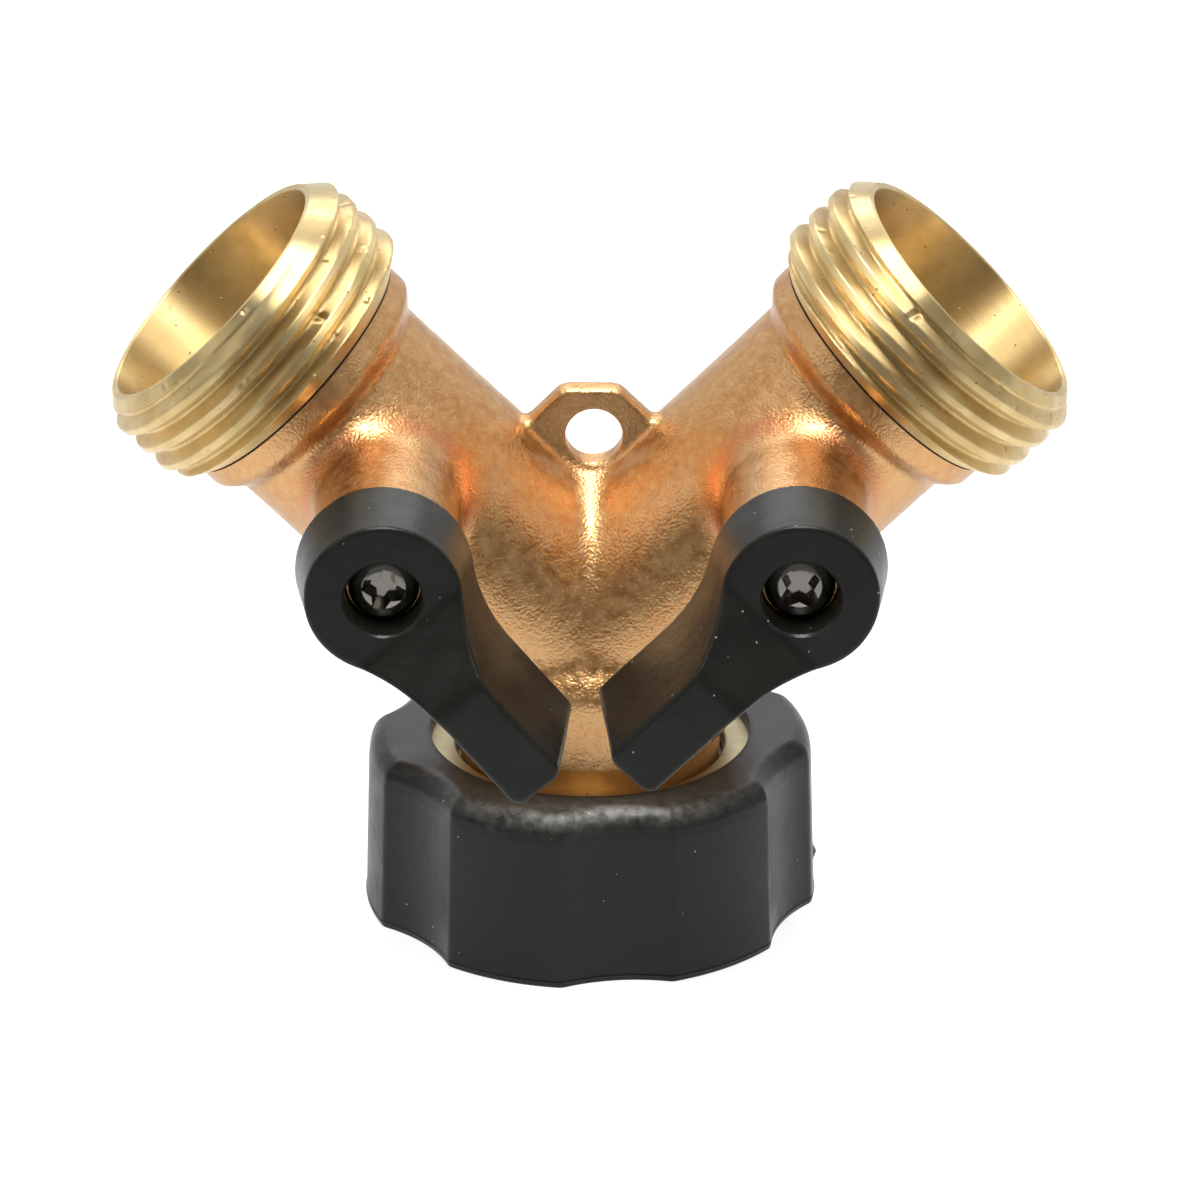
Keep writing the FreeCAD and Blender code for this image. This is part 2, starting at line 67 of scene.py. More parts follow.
# ---- places, from the frame
VALVE = Vector(JOINTS["right_lever_turn"]["pos_m"]) / MM
JUNCTION_Z = VALVE.z - VALVE.x
HALF_ROOT = math.sqrt(0.5)
VALVE_S = VALVE.x / HALF_ROOT
MOUTH = MOUNTS["outlet_right_mouth"]
MOUTH_PAST_MIDDLE = 4.26  # from the middle of the mouth's stated bore to the fitting's end
MOUTH_S = Vector(MOUTH["pos_m"]).x / MM / HALF_ROOT + MOUTH_PAST_MIDDLE
OUTLET_BORE_R = MOUTH["dims"]["r_mm"]
MALE_CREST_R = MOUNTS["outlet_right"]["dims"]["r_mm"]
NUT_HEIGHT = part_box("nut_grip")[1].z / MM
HUB_BACK_T = -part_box("lever_right")[1].y / MM
BLADE_FACE_T = -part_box("lever_right")[0].y / MM

# ---- hose thread
PITCH = 25.4 / 11.5
MALE_ROOT_R = 12.35
MALE_CREST_FLAT = 0.62
MALE_FLANK = 0.66
MALE_FIRST_CREST = 2.40
FEMALE_CREST_R = 12.45
FEMALE_ROOT_R = 13.60
FEMALE_CREST_FLAT = 0.55
FEMALE_FLANK = 0.62
FEMALE_FIRST_CREST = 0.90
THREAD_EASE = 0.10
RUNOUT_EASE = 0.16

# ---- casting
SEAM_S = 34.70
SHOULDER_S = SEAM_S + 0.22
ARM_R = 10.00
COLLAR_R = 11.45
COLLAR_START_S = 30.90
COLLAR_RISE = 2.20
NECK_CAST_R = 11.80
NECK_TURNED_R = 10.95
NECK_END_Z = 10.80
NECK_CAST_Z = 16.70
NECK_TOP_Z = 23.30
CLIP_GROOVE_R = 10.40
CLIP_GROOVE_Z = (11.25, 12.45)
NECK_LEAN = 0.80
NECK_LEAN_BLEND = 0.90
NECK_BORE_R = 8.00
BORE_CROWN = ((7.4, 3.0), (5.6, 5.6), (3.0, 7.3))  # radius, and height above the junction
WAY_R = 6.00
WAY_END_S = 16.70
CHAMBER_R = 7.90
CHAMBER_S = (17.80, 27.60)
SPIGOT_HOLE_R = 8.72
SEAL_HOLE_R = 10.25
SEAL_DEPTH = 1.10
STEM_HOLE_STEPS = ((3.38, 11.25), (4.30, 19.95))  # radius, and where the step ends
GLAND_HOLE_R = 4.66
LUG_R = (4.95, 5.75)
LUG_END_T = 24.60
LUG_HALF_ANGLE = 18.0
BOSS_R = 5.90
BOSS_END_T = 23.20
VALLEY_FILLET = 2.6
NECK_FILLET = 4.0
BOSS_FILLET = 3.0
TAB_FILLET = 1.1
TAB_X = 0.05
TAB_HOLE_X = MOUNTS["hang_hole"]["pos_m"][0] / MM
TAB_HOLE_Z = MOUNTS["hang_hole"]["pos_m"][2] / MM
TAB_HOLE_R = MOUNTS["hang_hole"]["dims"]["r_mm"]
TAB_HALF_THICK = 1.0
TAB_HALF = 5.85
TAB_TOP_HALF = 2.36
TAB_TOP_Z = JUNCTION_Z + 22.80
TAB_ROOT_Z = JUNCTION_Z + 10.0
TAB_ROUND = 0.45
TAB_HOLE_CHAMFER = 0.15
BODY_STEP = 0.27
FOLD_SHARE = 0.4
FOLD_HALF_WIDTH = 0.24

# ---- outlet
OUTLET_FLOOR_S = 36.20
OUTLET_WAY_R = 6.50
SEAT_POCKET_R = 7.82
SEAT_POCKET_S = 30.55
SPIGOT_R = 8.68
SPIGOT_END_S = 27.80
SHOULDER_FACE_R = 11.58
RELIEF_R = 11.62
RELIEF_SLOPE = 1.4
MOUTH_FACE_R = 11.72
MOUTH_CHAMFER_R = 11.75
THREAD_START = {"left": 2.9, "right": 1.9}  # how far round the thread starts
OUTLET_NICKS = 90

# ---- lever
HUB_FACE_T = 29.85
HUB_BACK_R = 7.22
BLADE_BACK_HALF = 3.87
WAIST_R = 13.60
BLADE_END_U = 19.55
DRAFT = math.tan(math.radians(8.0))
RAMP_START_U = 3.30
RAMP_END_U = 9.40
TIP_CHAMFER = 0.60
RECESS_R = 3.15
RECESS_FLOOR_T = 26.00
RECESS_CHAMFER = 0.30
LEVER_STEP = 0.17
SOCKET_R = 3.04
SOCKET_HALF_FLAT = 2.24
GROOVE_R = (4.75, 5.98)
GROOVE_END_T = 25.00
GROOVE_PAST_ANGLE = 19.0

# ---- lever screw
SCREW_TIP_T = 18.60
SCREW_SHANK_R = 1.45
SCREW_SEAT_T = 26.50
SCREW_HEAD_R = 2.85
SCREW_TOP_T = 27.88
CROSS_SPAN = 4.15
CROSS_WIDTH = 1.10
CROSS_FLOOR_T = 26.55
CROSS_FLOOR_SHARE = 0.50
CROSS_TURN = {"left": 35.0, "right": -3.0}

# ---- nut
NUT_FLUTES = 6
NUT_R = 19.10
NUT_FLUTE_R = 17.68
NUT_FLUTE_HALF = math.radians(14.25)
NUT_TURN = math.radians(6.8)
NUT_LEAN = 0.40
NUT_TOP_ROUND = 1.9
GRIP_BORE_R = 15.00
GRIP_TOP_R = 13.40
INSERT_TOP_Z = 14.15
INSERT_R = 14.97
LIP_R = 11.30
LIP_Z = 12.60
INSERT_CAVITY_R = 13.20
INSERT_THREAD_END_Z = 6.40
FOOT_SEAM_Z = 0.50
FOOT_SEAM = 0.07
# burrs and a gouge in the nut's wall: angle, height, how far it stands out, size
NUT_MARKS = (
    (0.0, 3.5, 0.30, 0.45),
    (math.radians(246.4), 14.4, -0.35, 0.32),
    (math.radians(243.6), 14.2, 0.16, 0.30),
)

# ---- camera, with lengths and shifts in millimetres and angles in degrees
CAMERA_ELEVATION = 24.31
CAMERA_AZIMUTH = -0.39
CAMERA_DISTANCE = 700.0
CAMERA_SHIFT = (-0.84, -2.97)  # how far the picture's middle lies from the junction
CAMERA_LENS = 249.84
CAMERA_SENSOR = 36.0

# ---- studio, with lights' places and sizes in metres and their powers in watts
ROOM_FRONT = 0.18
ROOM_BACK = 1.00
FLOOR_GLOW = 0.88
FLOOR_FRONT_GLOW = 0.05
FLOOR_FADE_Y = (-110.0, -60.0)  # the floor dims in front of the splitter
FLOOR_FADE_X = (66.0, 130.0)  # and a little at both sides
FLOOR_SIDE_SHARE = 0.45
FLOOR_REACH = 3.0
SOFT_BOXES = (
    ("top_light", (0.0, -0.27, 0.72), (0.26, 0.24), 5.0),
    ("overhead_light", (0.0, 0.04, 0.80), (0.30, 0.20), 3.2),
    ("back_light", (0.0, 0.55, 0.48), (0.60, 0.25), 1.3),
    ("left_light", (-0.65, -0.35, 0.45), (0.30, 0.40), 0.55),
    ("right_light", (0.65, -0.35, 0.45), (0.30, 0.40), 0.30),
)


# ---------------------------------------------------------------- meshes

CORNER_STEPS = 5


def new_object(name, points, faces):
    """A linked object with a mesh in millimetres."""
    mesh = bpy.data.meshes.new(name)
    mesh.from_pydata(np.asarray(points, float).reshape(-1, 3).tolist(), [], faces)
    mesh.validate()
    made = bpy.data.objects.new(name, mesh)
    bpy.context.scene.collection.objects.link(made)
    return made


def skin(name, rows, wrap=False):
    """Join rings of points, each as long as the next, and close the ends unless they wrap round."""
    count, around = rows.shape[:2]
    index = np.arange(count * around).reshape(count, around)
    low = index if wrap else index[:-1]
    high = np.roll(index, -1, axis=0) if wrap else index[1:]
    quads = np.stack([low, np.roll(low, -1, axis=1), np.roll(high, -1, axis=1), high], axis=-1)
    faces = quads.reshape(-1, 4).tolist()
    if not wrap:
        faces += [index[0][::-1].tolist(), index[-1].tolist()]
    return new_object(name, rows, faces)


def turned_rows(radii, heights, segments):
    """Rings about the Z axis. Radii and heights are one value a ring, or one a point."""
    angles = np.arange(segments) / segments * TURN
    count = len(radii)
    radii = np.broadcast_to(np.asarray(radii, float).reshape(count, -1), (count, segments))
    heights = np.broadcast_to(np.asarray(heights, float).reshape(count, -1), (count, segments))
    return np.stack([radii * np.cos(angles), radii * np.sin(angles), heights], axis=-1)


def eased(corners, wrap=False):
    """An (r, z) outline whose corners, given as (r, z, radius), are rounded."""
    count = len(corners)
    outline = []
    for i, corner in enumerate(corners):
        here = np.array(corner[:2], float)
        radius = corner[2] if len(corner) > 2 else 0.0
        if radius <= 0 or (not wrap and i in (0, count - 1)):
            outline.append(here)
            continue
        to_last = np.array(corners[i - 1][:2]) - here
        to_next = np.array(corners[(i + 1) % count][:2]) - here
        to_last /= np.linalg.norm(to_last)
        to_next /= np.linalg.norm(to_next)
        half = math.acos(np.clip(to_last @ to_next, -1, 1)) / 2
        reach = radius / math.tan(half)
        inward = to_last + to_next
        centre = here + inward / np.linalg.norm(inward) * radius / math.sin(half)
        start, end = here + to_last * reach - centre, here + to_next * reach - centre
        sweep = math.atan2(start[0] * end[1] - start[1] * end[0], start @ end)
        for step in range(CORNER_STEPS + 1):
            a = sweep * step / CORNER_STEPS
            turned = (start[0] * math.cos(a) - start[1] * math.sin(a),
                      start[0] * math.sin(a) + start[1] * math.cos(a))
            outline.append(centre + turned)
    return np.array(outline)


def lathe(name, corners, segments):
    """A solid turned from a rounded outline, and closed flat at both ends."""
    outline = eased(corners)
    return skin(name, turned_rows(outline[:, 0], outline[:, 1], segments))


def prism(name, outline, low, high, low_scale=1.0):
    """An (x, y) outline drawn out along Z, and scaled at its lower end."""
    flat = np.asarray(outline, float)
    rows = [np.column_stack([flat * scale, np.full(len(flat), z)])
            for z, scale in ((low, low_scale), (high, 1.0))]
    return skin(name, np.array(rows))


def sector(name, inner, outer, low, high, start, end, steps=16):
    """Part of a ring between two angles in degrees."""
    angles = np.radians(np.linspace(start, end, steps))
    arc = np.column_stack([np.cos(angles), np.sin(angles)])
    return prism(name, np.vstack([arc * outer, arc[::-1] * inner]), low, high)


def combine(target, tools, operation="DIFFERENCE"):
    """Cut tools from a target, or join them to it, and remove the tools."""
    for tool in tools:
        modifier = target.modifiers.new("combine", "BOOLEAN")
        modifier.object = tool
        modifier.operation = operation
        modifier.solver = "MANIFOLD"
        modifier.material_mode = "INDEX"
    graph = bpy.context.evaluated_depsgraph_get()
    mesh = bpy.data.meshes.new_from_object(target.evaluated_get(graph))
    target.modifiers.clear()
    target.data = mesh
    for tool in tools:
        bpy.data.objects.remove(tool)


def placed(made, matrix):
    """Move a piece's mesh."""
    made.data.transform(matrix)
    return made


def with_materials(made, *materials, index=0):
    """Give a mesh its materials, and every face the one with that index."""
    made.data.materials.clear()
    for material in materials:
        made.data.materials.append(material)
    made.data.polygons.foreach_set("material_index", np.full(len(made.data.polygons), index))
    return made


def finished(made, node, body, sharp=35.0):
    """Turn a piece into metres, shade it, and let it stand for its node on its body."""
    made.data.transform(Matrix.Scale(MM, 4))
    made.data.shade_smooth()
    made.data.set_sharp_from_angle(angle=math.radians(sharp))
    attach(made, body)
    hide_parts(node)


# ---------------------------------------------------------------- frames

def arm_matrix(side):
    """From the arm frame to the part frame."""
    lean = Matrix.Rotation(SIDES[side] * TURN / 8, 4, "Y")
    return Matrix.Translation((0, 0, JUNCTION_Z)) @ lean


def stem_matrix(side, turns=False):
    """From the stem frame to the part frame, with the lever's rest turn if the piece turns."""
    matrix = arm_matrix(side) @ Matrix.Translation((0, 0, VALVE_S))
    matrix = matrix @ Matrix.Rotation(TURN / 4, 4, "X")
    if turns:
        matrix = matrix @ Matrix.Rotation(SIDES[side] * rest_turn(side), 4, "Z")
    return matrix


def rest_turn(side):
    """How far a lever stands from fully open at rest."""
    return math.radians(-JOINTS[f"{side}_lever_turn"]["range_deg"][0])


# ---------------------------------------------------------------- distance fields

def smooth_min(a, b, reach):
    """The lesser of two distances, eased where they differ by less than reach."""
    reach = np.maximum(reach, 1e-3)
    share = np.clip(0.5 + 0.5 * (b - a) / reach, 0, 1)
    return b + (a - b) * share - reach * share * (1 - share)


def smooth_max(a, b, reach):
    """The greater of two distances, eased where they differ by less than reach."""
    return -smooth_min(-a, -b, reach)


def eased_step(value, start, end):
    """0 before start, 1 after end, and smooth between."""
    t = np.clip((value - start) / (end - start), 0, 1)
    return t * t * (3 - 2 * t)


def round_join(a, b, radius):
    """The overlap of two solids, with its edge rounded."""
    outside = np.hypot(np.maximum(a + radius, 0), np.maximum(b + radius, 0))
    return np.minimum(np.maximum(a, b) + radius, 0) + outside - radius


def ripple(x, y, z, waves, shortest, longest, seed):
    """A gentle unevenness made of sine waves in random directions, from -1 to 1 or so."""
    rng = np.random.default_rng(seed)
    total = 0.0
    for _ in range(waves):
        direction = rng.normal(size=3)
        direction *= TURN / rng.uniform(shortest, longest) / np.linalg.norm(direction)
        phase = rng.uniform(0, TURN)
        total = total + np.sin(x * direction[0] + y * direction[1] + z * direction[2] + phase)
    return total / math.sqrt(waves)


def surface_net(field, low, high, step):
    """Points and quads on the zero level of a field, by one point for each cell that it crosses."""
    axes = [np.arange(a, b + step, step, dtype=np.float32) for a, b in zip(low, high)]
    values = field(axes[0][:, None, None], axes[1][None, :, None], axes[2][None, None, :])
    inside = values < 0
    cells = tuple(n - 1 for n in values.shape)
    corners = [(i, j, k) for i in (0, 1) for j in (0, 1) for k in (0, 1)]

    def corner(array, offset):
        """The array's values at one corner of every cell."""
        return array[tuple(slice(o, o + n) for o, n in zip(offset, cells))]

    total = sum(corner(inside, c).astype(np.int8) for c in corners)
    crossed = np.nonzero((total > 0) & (total < 8))
    places = np.stack(crossed, axis=-1)
    number = np.full(cells, -1, np.int32)
    number[crossed] = np.arange(len(places))
    at_corner = np.stack([corner(values, c)[crossed] for c in corners], axis=-1).astype(float)
    summed, hits = np.zeros((len(places), 3)), np.zeros(len(places))
    for a, first in enumerate(corners):
        for b, second in enumerate(corners):
            if b > a and sum(abs(p - q) for p, q in zip(first, second)) == 1:
                f, g = at_corner[:, a], at_corner[:, b]
                cross = (f < 0) != (g < 0)
                share = np.where(cross, f / np.where(cross, f - g, 1), 0)[:, None]
                point = np.array(first) + share * (np.array(second) - np.array(first))
                summed += point * cross[:, None]
                hits += cross
    points = np.array(low) + step * (places + summed / hits[:, None])
    quads = []
    for axis in range(3):
        u, v = (axis + 1) % 3, (axis + 2) % 3
        body = [slice(1, -1)] * 3
        body[axis] = slice(0, -1)
        ahead = list(body)
        ahead[axis] = slice(1, None)
        here, there = inside[tuple(body)], inside[tuple(ahead)]
        edge = np.stack(np.nonzero(here != there), axis=-1)
        leaving = here[tuple(edge.T)]
        base = edge + np.array([0 if a == axis else 1 for a in range(3)])
        ring = []
        for du, dv in ((-1, -1), (0, -1), (0, 0), (-1, 0)):
            cell = base.copy()
            cell[:, u] += du
            cell[:, v] += dv
            ring.append(number[tuple(cell.T)])
        ring = np.stack(ring, axis=-1)
        quads.append(np.where(leaving[:, None], ring, ring[:, ::-1]))
    return points, np.vstack(quads)


def onto_surface(field, points, passes=3, probe=0.02):
    """Slide points along the field's slope until they lie on its zero level."""
    for _ in range(passes):
        value = field(*points.T)
        slope = np.stack([
            (field(*(points + offset).T) - field(*(points - offset).T)) / (2 * probe)
            for offset in np.eye(3) * probe
        ], axis=-1)
        points = points - slope * (value / np.maximum((slope ** 2).sum(axis=1), 0.2))[:, None]
    return points


def grown(name, field, low, high, step):
    """A mesh of a field's zero level."""
    points, quads = surface_net(field, low, high, step)
    return new_object(name, onto_surface(field, points), quads.tolist())


# ---------------------------------------------------------------- casting

# x at the fold's foot, its lean, its lowest and highest point above the neck's top, its depth
FOLDS = (
    (-3.3, -0.35, 0.6, 3.6, 0.22),
    (-2.3, -0.30, 0.2, 2.9, 0.16),
    (-1.35, -0.10, -0.1, 3.4, 0.24),
    (-0.45, 0.02, 0.0, 2.8, 0.20),
    (0.35, 0.05, -0.2, 3.9, 0.26),
    (1.25, 0.22, 0.2, 3.2, 0.22),
    (2.15, 0.40, 0.7, 3.3, 0.16),
    (3.1, 0.60, 1.2, 3.4, 0.18),
)


def arm_distance(x, y, up, sign):
    """Distance to an arm's outside, and to the half of its axis past the junction."""
    along = (sign * x + up) * HALF_ROOT
    off = (sign * x - up) * HALF_ROOT
    reach = np.sqrt(off ** 2 + y ** 2 + np.minimum(along, 0) ** 2)
    widened = eased_step(along, COLLAR_START_S, COLLAR_START_S + COLLAR_RISE)
    radius = ARM_R + (COLLAR_R - ARM_R) * widened
    return reach - radius, reach


def tab_distance(x, y, z):
    """Distance to the hanging tab, a plate with cut corners and rounded edges."""
    off = np.abs(x - TAB_X)
    sides = smooth_max(off - TAB_HALF, z - TAB_TOP_Z, 0.4)
    flat = smooth_max(sides, (off + z - TAB_TOP_HALF - TAB_TOP_Z) * HALF_ROOT, 0.5)
    flat = np.maximum(flat, TAB_ROOT_Z - z)
    return round_join(flat, np.abs(y) - TAB_HALF_THICK, TAB_ROUND)


def fold_depth(x, y, z):
    """How far the casting's skin dips in the cold folds above the neck's front."""
    depth = 0.0
    up = z - NECK_TOP_Z
    for foot, lean, low, high, deep in FOLDS:
        line = foot + lean * (up - low) + 0.12 * np.sin(2.6 * up + 5 * foot)
        ends = eased_step(up, low - 0.3, low + 0.5) * (1 - eased_step(up, high - 0.9, high + 0.3))
        depth = depth + deep * ends * np.exp(-((x - line) / FOLD_HALF_WIDTH) ** 2)
    return np.where(y < 0, depth, 0)


def body_parts(x, y, z):
    """Distance to the casting before machining, and how much of it is fillet."""
    up = z - JUNCTION_Z
    (left, left_r), (right, right_r) = (arm_distance(x, y, up, sign) for sign in SIDES.values())
    opening = 1 - np.clip(y ** 2 / (left_r * right_r), 0, 1)
    arms = smooth_min(left, right, VALLEY_FILLET * opening)
    sharp = np.minimum(left, right)

    around = np.hypot(x, y)
    lean = (z - NECK_TOP_Z) * NECK_LEAN
    neck = around - NECK_CAST_R + smooth_max(lean, 0 * lean, 1.2)
    facing = 1 - np.clip(y ** 2 / (around * np.minimum(left_r, right_r) + 1e-6), 0, 1)
    leaning = eased_step(z, NECK_TOP_Z - NECK_LEAN_BLEND, NECK_TOP_Z + NECK_LEAN_BLEND)
    neck = neck / (1 + (math.hypot(1, NECK_LEAN) - 1) * leaning)
    whole = smooth_min(arms, neck, 0.8 + NECK_FILLET * facing)
    sharp = np.minimum(sharp, neck)

    for sign in SIDES.values():
        boss = np.hypot(x - sign * VALVE.x, z - VALVE.z) - BOSS_R
        boss = np.maximum(boss, y)
        whole = smooth_min(whole, boss, BOSS_FILLET)
        sharp = np.minimum(sharp, boss)
    tab = tab_distance(x, y, z)
    whole = smooth_min(whole, tab, TAB_FILLET)
    sharp = np.minimum(sharp, tab)
    return whole, sharp - whole


def body_field(x, y, z):
    """The casting's skin with its unevenness and folds."""
    whole = body_parts(x, y, z)[0]
    broad = ripple(x, y, z, 7, 5, 13, 3)
    close = ripple(x, y, z, 9, 1.6, 3.2, 4)
    whole = whole + 0.035 * broad + 0.006 * close
    return whole + FOLD_SHARE * fold_depth(x, y, z)


def cast_body():
    """The casting before machining, with how much of each point is fillet."""
    reach = SEAM_S + 1.0
    side_reach = (reach + COLLAR_R) * HALF_ROOT + 0.5
    low = (-side_reach, -BOSS_END_T - 1.0, NECK_END_Z - 1.0)
    high = (side_reach, COLLAR_R + 0.9, JUNCTION_Z + side_reach)

    def trimmed(x, y, z):
        """The casting's skin, cut off a little past each machined face."""
        up = z - JUNCTION_Z
        ends = [(sign * x + up) * HALF_ROOT - reach for sign in SIDES.values()]
        ends += [-y - BOSS_END_T - 0.6, NECK_END_Z - 0.6 - z]
        whole = body_field(x, y, z)
        for end in ends:
            whole = np.maximum(whole, end)
        return whole

    body = grown("casting_body", trimmed, low, high, BODY_STEP)
    points = np.array([v.co for v in body.data.vertices])
    fillet = body.data.attributes.new("fillet", "FLOAT", "POINT")
    fillet.data.foreach_set("value", np.clip(body_parts(*points.T)[1], 0, 2).astype(np.float32))
    return body


def neck_tool():
    """What is cut from the neck: its turned outside with the ring's groove, and its bore."""
    return lathe("neck_tool", [
        (NECK_BORE_R, NECK_END_Z - 3), (24.0, NECK_END_Z - 3), (24.0, NECK_CAST_Z),
        (NECK_TURNED_R, NECK_CAST_Z, 0.15), (NECK_TURNED_R, CLIP_GROOVE_Z[1]),
        (CLIP_GROOVE_R, CLIP_GROOVE_Z[1]), (CLIP_GROOVE_R, CLIP_GROOVE_Z[0]),
        (NECK_TURNED_R, CLIP_GROOVE_Z[0]), (NECK_TURNED_R, NECK_END_Z, 0.25),
        (NECK_BORE_R, NECK_END_Z, 0.25), (NECK_BORE_R, JUNCTION_Z),
        *[(radius, JUNCTION_Z + rise) for radius, rise in BORE_CROWN],
    ], 180)


def arm_tool(side):
    """What is cut from an arm: its waterway, the ball's chamber, and the outlet's seat and face."""
    seal_start = SEAM_S - SEAL_DEPTH
    tool = lathe("arm_tool", [
        (WAY_R, 0.0), (WAY_R, WAY_END_S), (CHAMBER_R, CHAMBER_S[0]), (CHAMBER_R, CHAMBER_S[1]),
        (SPIGOT_HOLE_R, CHAMBER_S[1]), (SPIGOT_HOLE_R, seal_start), (SEAL_HOLE_R, seal_start),
        (SEAL_HOLE_R, SEAM_S), (15.0, SEAM_S), (15.0, SEAM_S + 4),
    ], 160)
    return placed(tool, arm_matrix(side))


def stem_tool(side):
    """What is cut from a boss: the stem's stepped hole, and the end face."""
    outline = []
    start = 0.0
    for radius, end in (*STEM_HOLE_STEPS, (GLAND_HOLE_R, BOSS_END_T)):
        outline += [(radius, start), (radius, end)]
        start = end
    tool = lathe("stem_tool", [*outline, (9.0, BOSS_END_T), (9.0, BOSS_END_T + 3)], 96)
    return placed(tool, stem_matrix(side))


def tab_hole_tool():
    """The hanging hole, with its edges broken."""
    wide, deep = TAB_HOLE_R + TAB_HOLE_CHAMFER, TAB_HALF_THICK - 0.2
    tool = lathe("hole_tool", [
        (wide, -2.2), (wide, -TAB_HALF_THICK), (TAB_HOLE_R, -deep),
        (TAB_HOLE_R, deep), (wide, TAB_HALF_THICK), (wide, 2.2),
    ], 96)
    place = Matrix.Translation((TAB_HOLE_X, 0, TAB_HOLE_Z))
    return placed(tool, place @ Matrix.Rotation(TURN / 4, 4, "X"))


def stop_lug(side):
    """The lug on a boss that stops its lever."""
    lug = sector("lug", *LUG_R, BOSS_END_T - 0.5, LUG_END_T, 90 - LUG_HALF_ANGLE, 90 + LUG_HALF_ANGLE)
    return placed(lug, stem_matrix(side))


def casting(cast, machined):
    """The Y body: cast outside, with its machined bores, faces and neck."""
    body = with_materials(cast_body(), cast, machined)
    tools = [neck_tool()]
    for side in SIDES:
        tools += [arm_tool(side), stem_tool(side)]
    tools = [with_materials(tool, cast, machined, index=1) for tool in tools]
    tools.append(with_materials(tab_hole_tool(), cast, machined))
    combine(body, tools)
    lugs = [with_materials(stop_lug(side), cast, machined, index=1) for side in SIDES]
    combine(body, lugs, "UNION")
    finished(body, "casting", "manifold")


# ---------------------------------------------------------------- threads and outlets

def thread_radius(along, angles, first, crest, root, flat, flank):
    """Radius of a right-hand thread whose first crest's middle is at a place along its axis."""
    phase = (along - first) / PITCH - angles / TURN
    off = np.abs(phase - np.round(phase)) * PITCH
    share = (off - flat / 2) / flank
    slope = crest + (root - crest) * share
    crests, roots = np.full_like(slope, crest), np.full_like(slope, root)
    if crest > root:
        return smooth_max(smooth_min(slope, crests, THREAD_EASE), roots, THREAD_EASE)
    return smooth_min(smooth_max(slope, crests, THREAD_EASE), roots, THREAD_EASE)


def nicks(along, angles, count, seed, radius):
    """Small dents knocked into a turned part's edges."""
    rng = np.random.default_rng(seed)
    depth = np.zeros(np.broadcast(along, angles).shape)
    for _ in range(count):
        place, angle = rng.uniform(along.min(), along.max()), rng.uniform(0, TURN)
        size, deep = rng.uniform(0.12, 0.32), rng.uniform(0.03, 0.10)
        apart = (angles - angle + TURN / 2) % TURN - TURN / 2
        depth += deep * np.exp(-((along - place) ** 2 + (apart * radius) ** 2) / size ** 2)
    return depth


def outlet(side, brass):
    """Outlet fitting: a male hose thread with its mouth chamfer, and the hollow spigot."""
    segments = 400
    angles = (np.arange(segments) / segments * TURN)[None, :]
    along = np.arange(SHOULDER_S + 0.05, MOUTH_S - 0.12, 0.058)[:, None]
    radius = thread_radius(along, angles + THREAD_START[side], MOUTH_S - MALE_FIRST_CREST,
                           MALE_CREST_R, MALE_ROOT_R, MALE_CREST_FLAT, MALE_FLANK)
    rng = np.random.default_rng(5 + SIDES[side])
    wobble = -0.03 + sum(rng.uniform(0.004, 0.012) * np.sin(n * angles + rng.uniform(0, TURN))
                         for n in (3, 7, 13, 22))
    mouth = MOUTH_CHAMFER_R + (MOUTH_S - along) + wobble
    relief = RELIEF_R + (along - SHOULDER_S) * RELIEF_SLOPE + wobble
    radius = smooth_min(smooth_min(radius, mouth, RUNOUT_EASE), relief, RUNOUT_EASE)
    radius = radius - nicks(along, angles, OUTLET_NICKS, 11 + SIDES[side], MALE_CREST_R)
    inner = eased([
        (MOUTH_FACE_R, MOUTH_S), (OUTLET_BORE_R, MOUTH_S, 0.12),
        (OUTLET_BORE_R, OUTLET_FLOOR_S, 1.2), (OUTLET_WAY_R, OUTLET_FLOOR_S, 0.2),
        (OUTLET_WAY_R, SEAT_POCKET_S, 0.1), (SEAT_POCKET_R, SEAT_POCKET_S, 0.05),
        (SEAT_POCKET_R, SPIGOT_END_S, 0.1), (SPIGOT_R, SPIGOT_END_S, 0.3),
        (SPIGOT_R, SHOULDER_S, 0.05), (SHOULDER_FACE_R, SHOULDER_S),
    ], wrap=True)
    rows = np.concatenate([
        turned_rows(radius, along, segments),
        turned_rows(inner[:, 0], inner[:, 1], segments),
    ])
    made = placed(skin(f"outlet_fitting_{side}", rows, wrap=True), arm_matrix(side))
    with_materials(made, brass)
    finished(made, f"outlet_{side}", "manifold")


# ---------------------------------------------------------------- levers and screws

def lever_outline_distance(u, v, inset):
    """Distance to the lever's outline, drawn in by a draft: hub, waists and blade."""
    hub, half, waist = HUB_BACK_R - inset, BLADE_BACK_HALF - inset, WAIST_R + inset
    foot = np.sqrt((hub + waist) ** 2 - (half + waist) ** 2)
    v = np.abs(v)
    waist_v = half + waist
    blade = smooth_max(v - half, u - BLADE_END_U, 0.3)
    blade = smooth_max(blade, (u + v - BLADE_END_U - half + TIP_CHAMFER) * HALF_ROOT, 0.3)
    plain = np.minimum(np.hypot(u, v) - hub, np.maximum(blade, -u))
    in_waist = (u < foot) & (foot * v < waist_v * u)
    return np.where(in_waist, waist - np.hypot(u - foot, v - waist_v), plain)


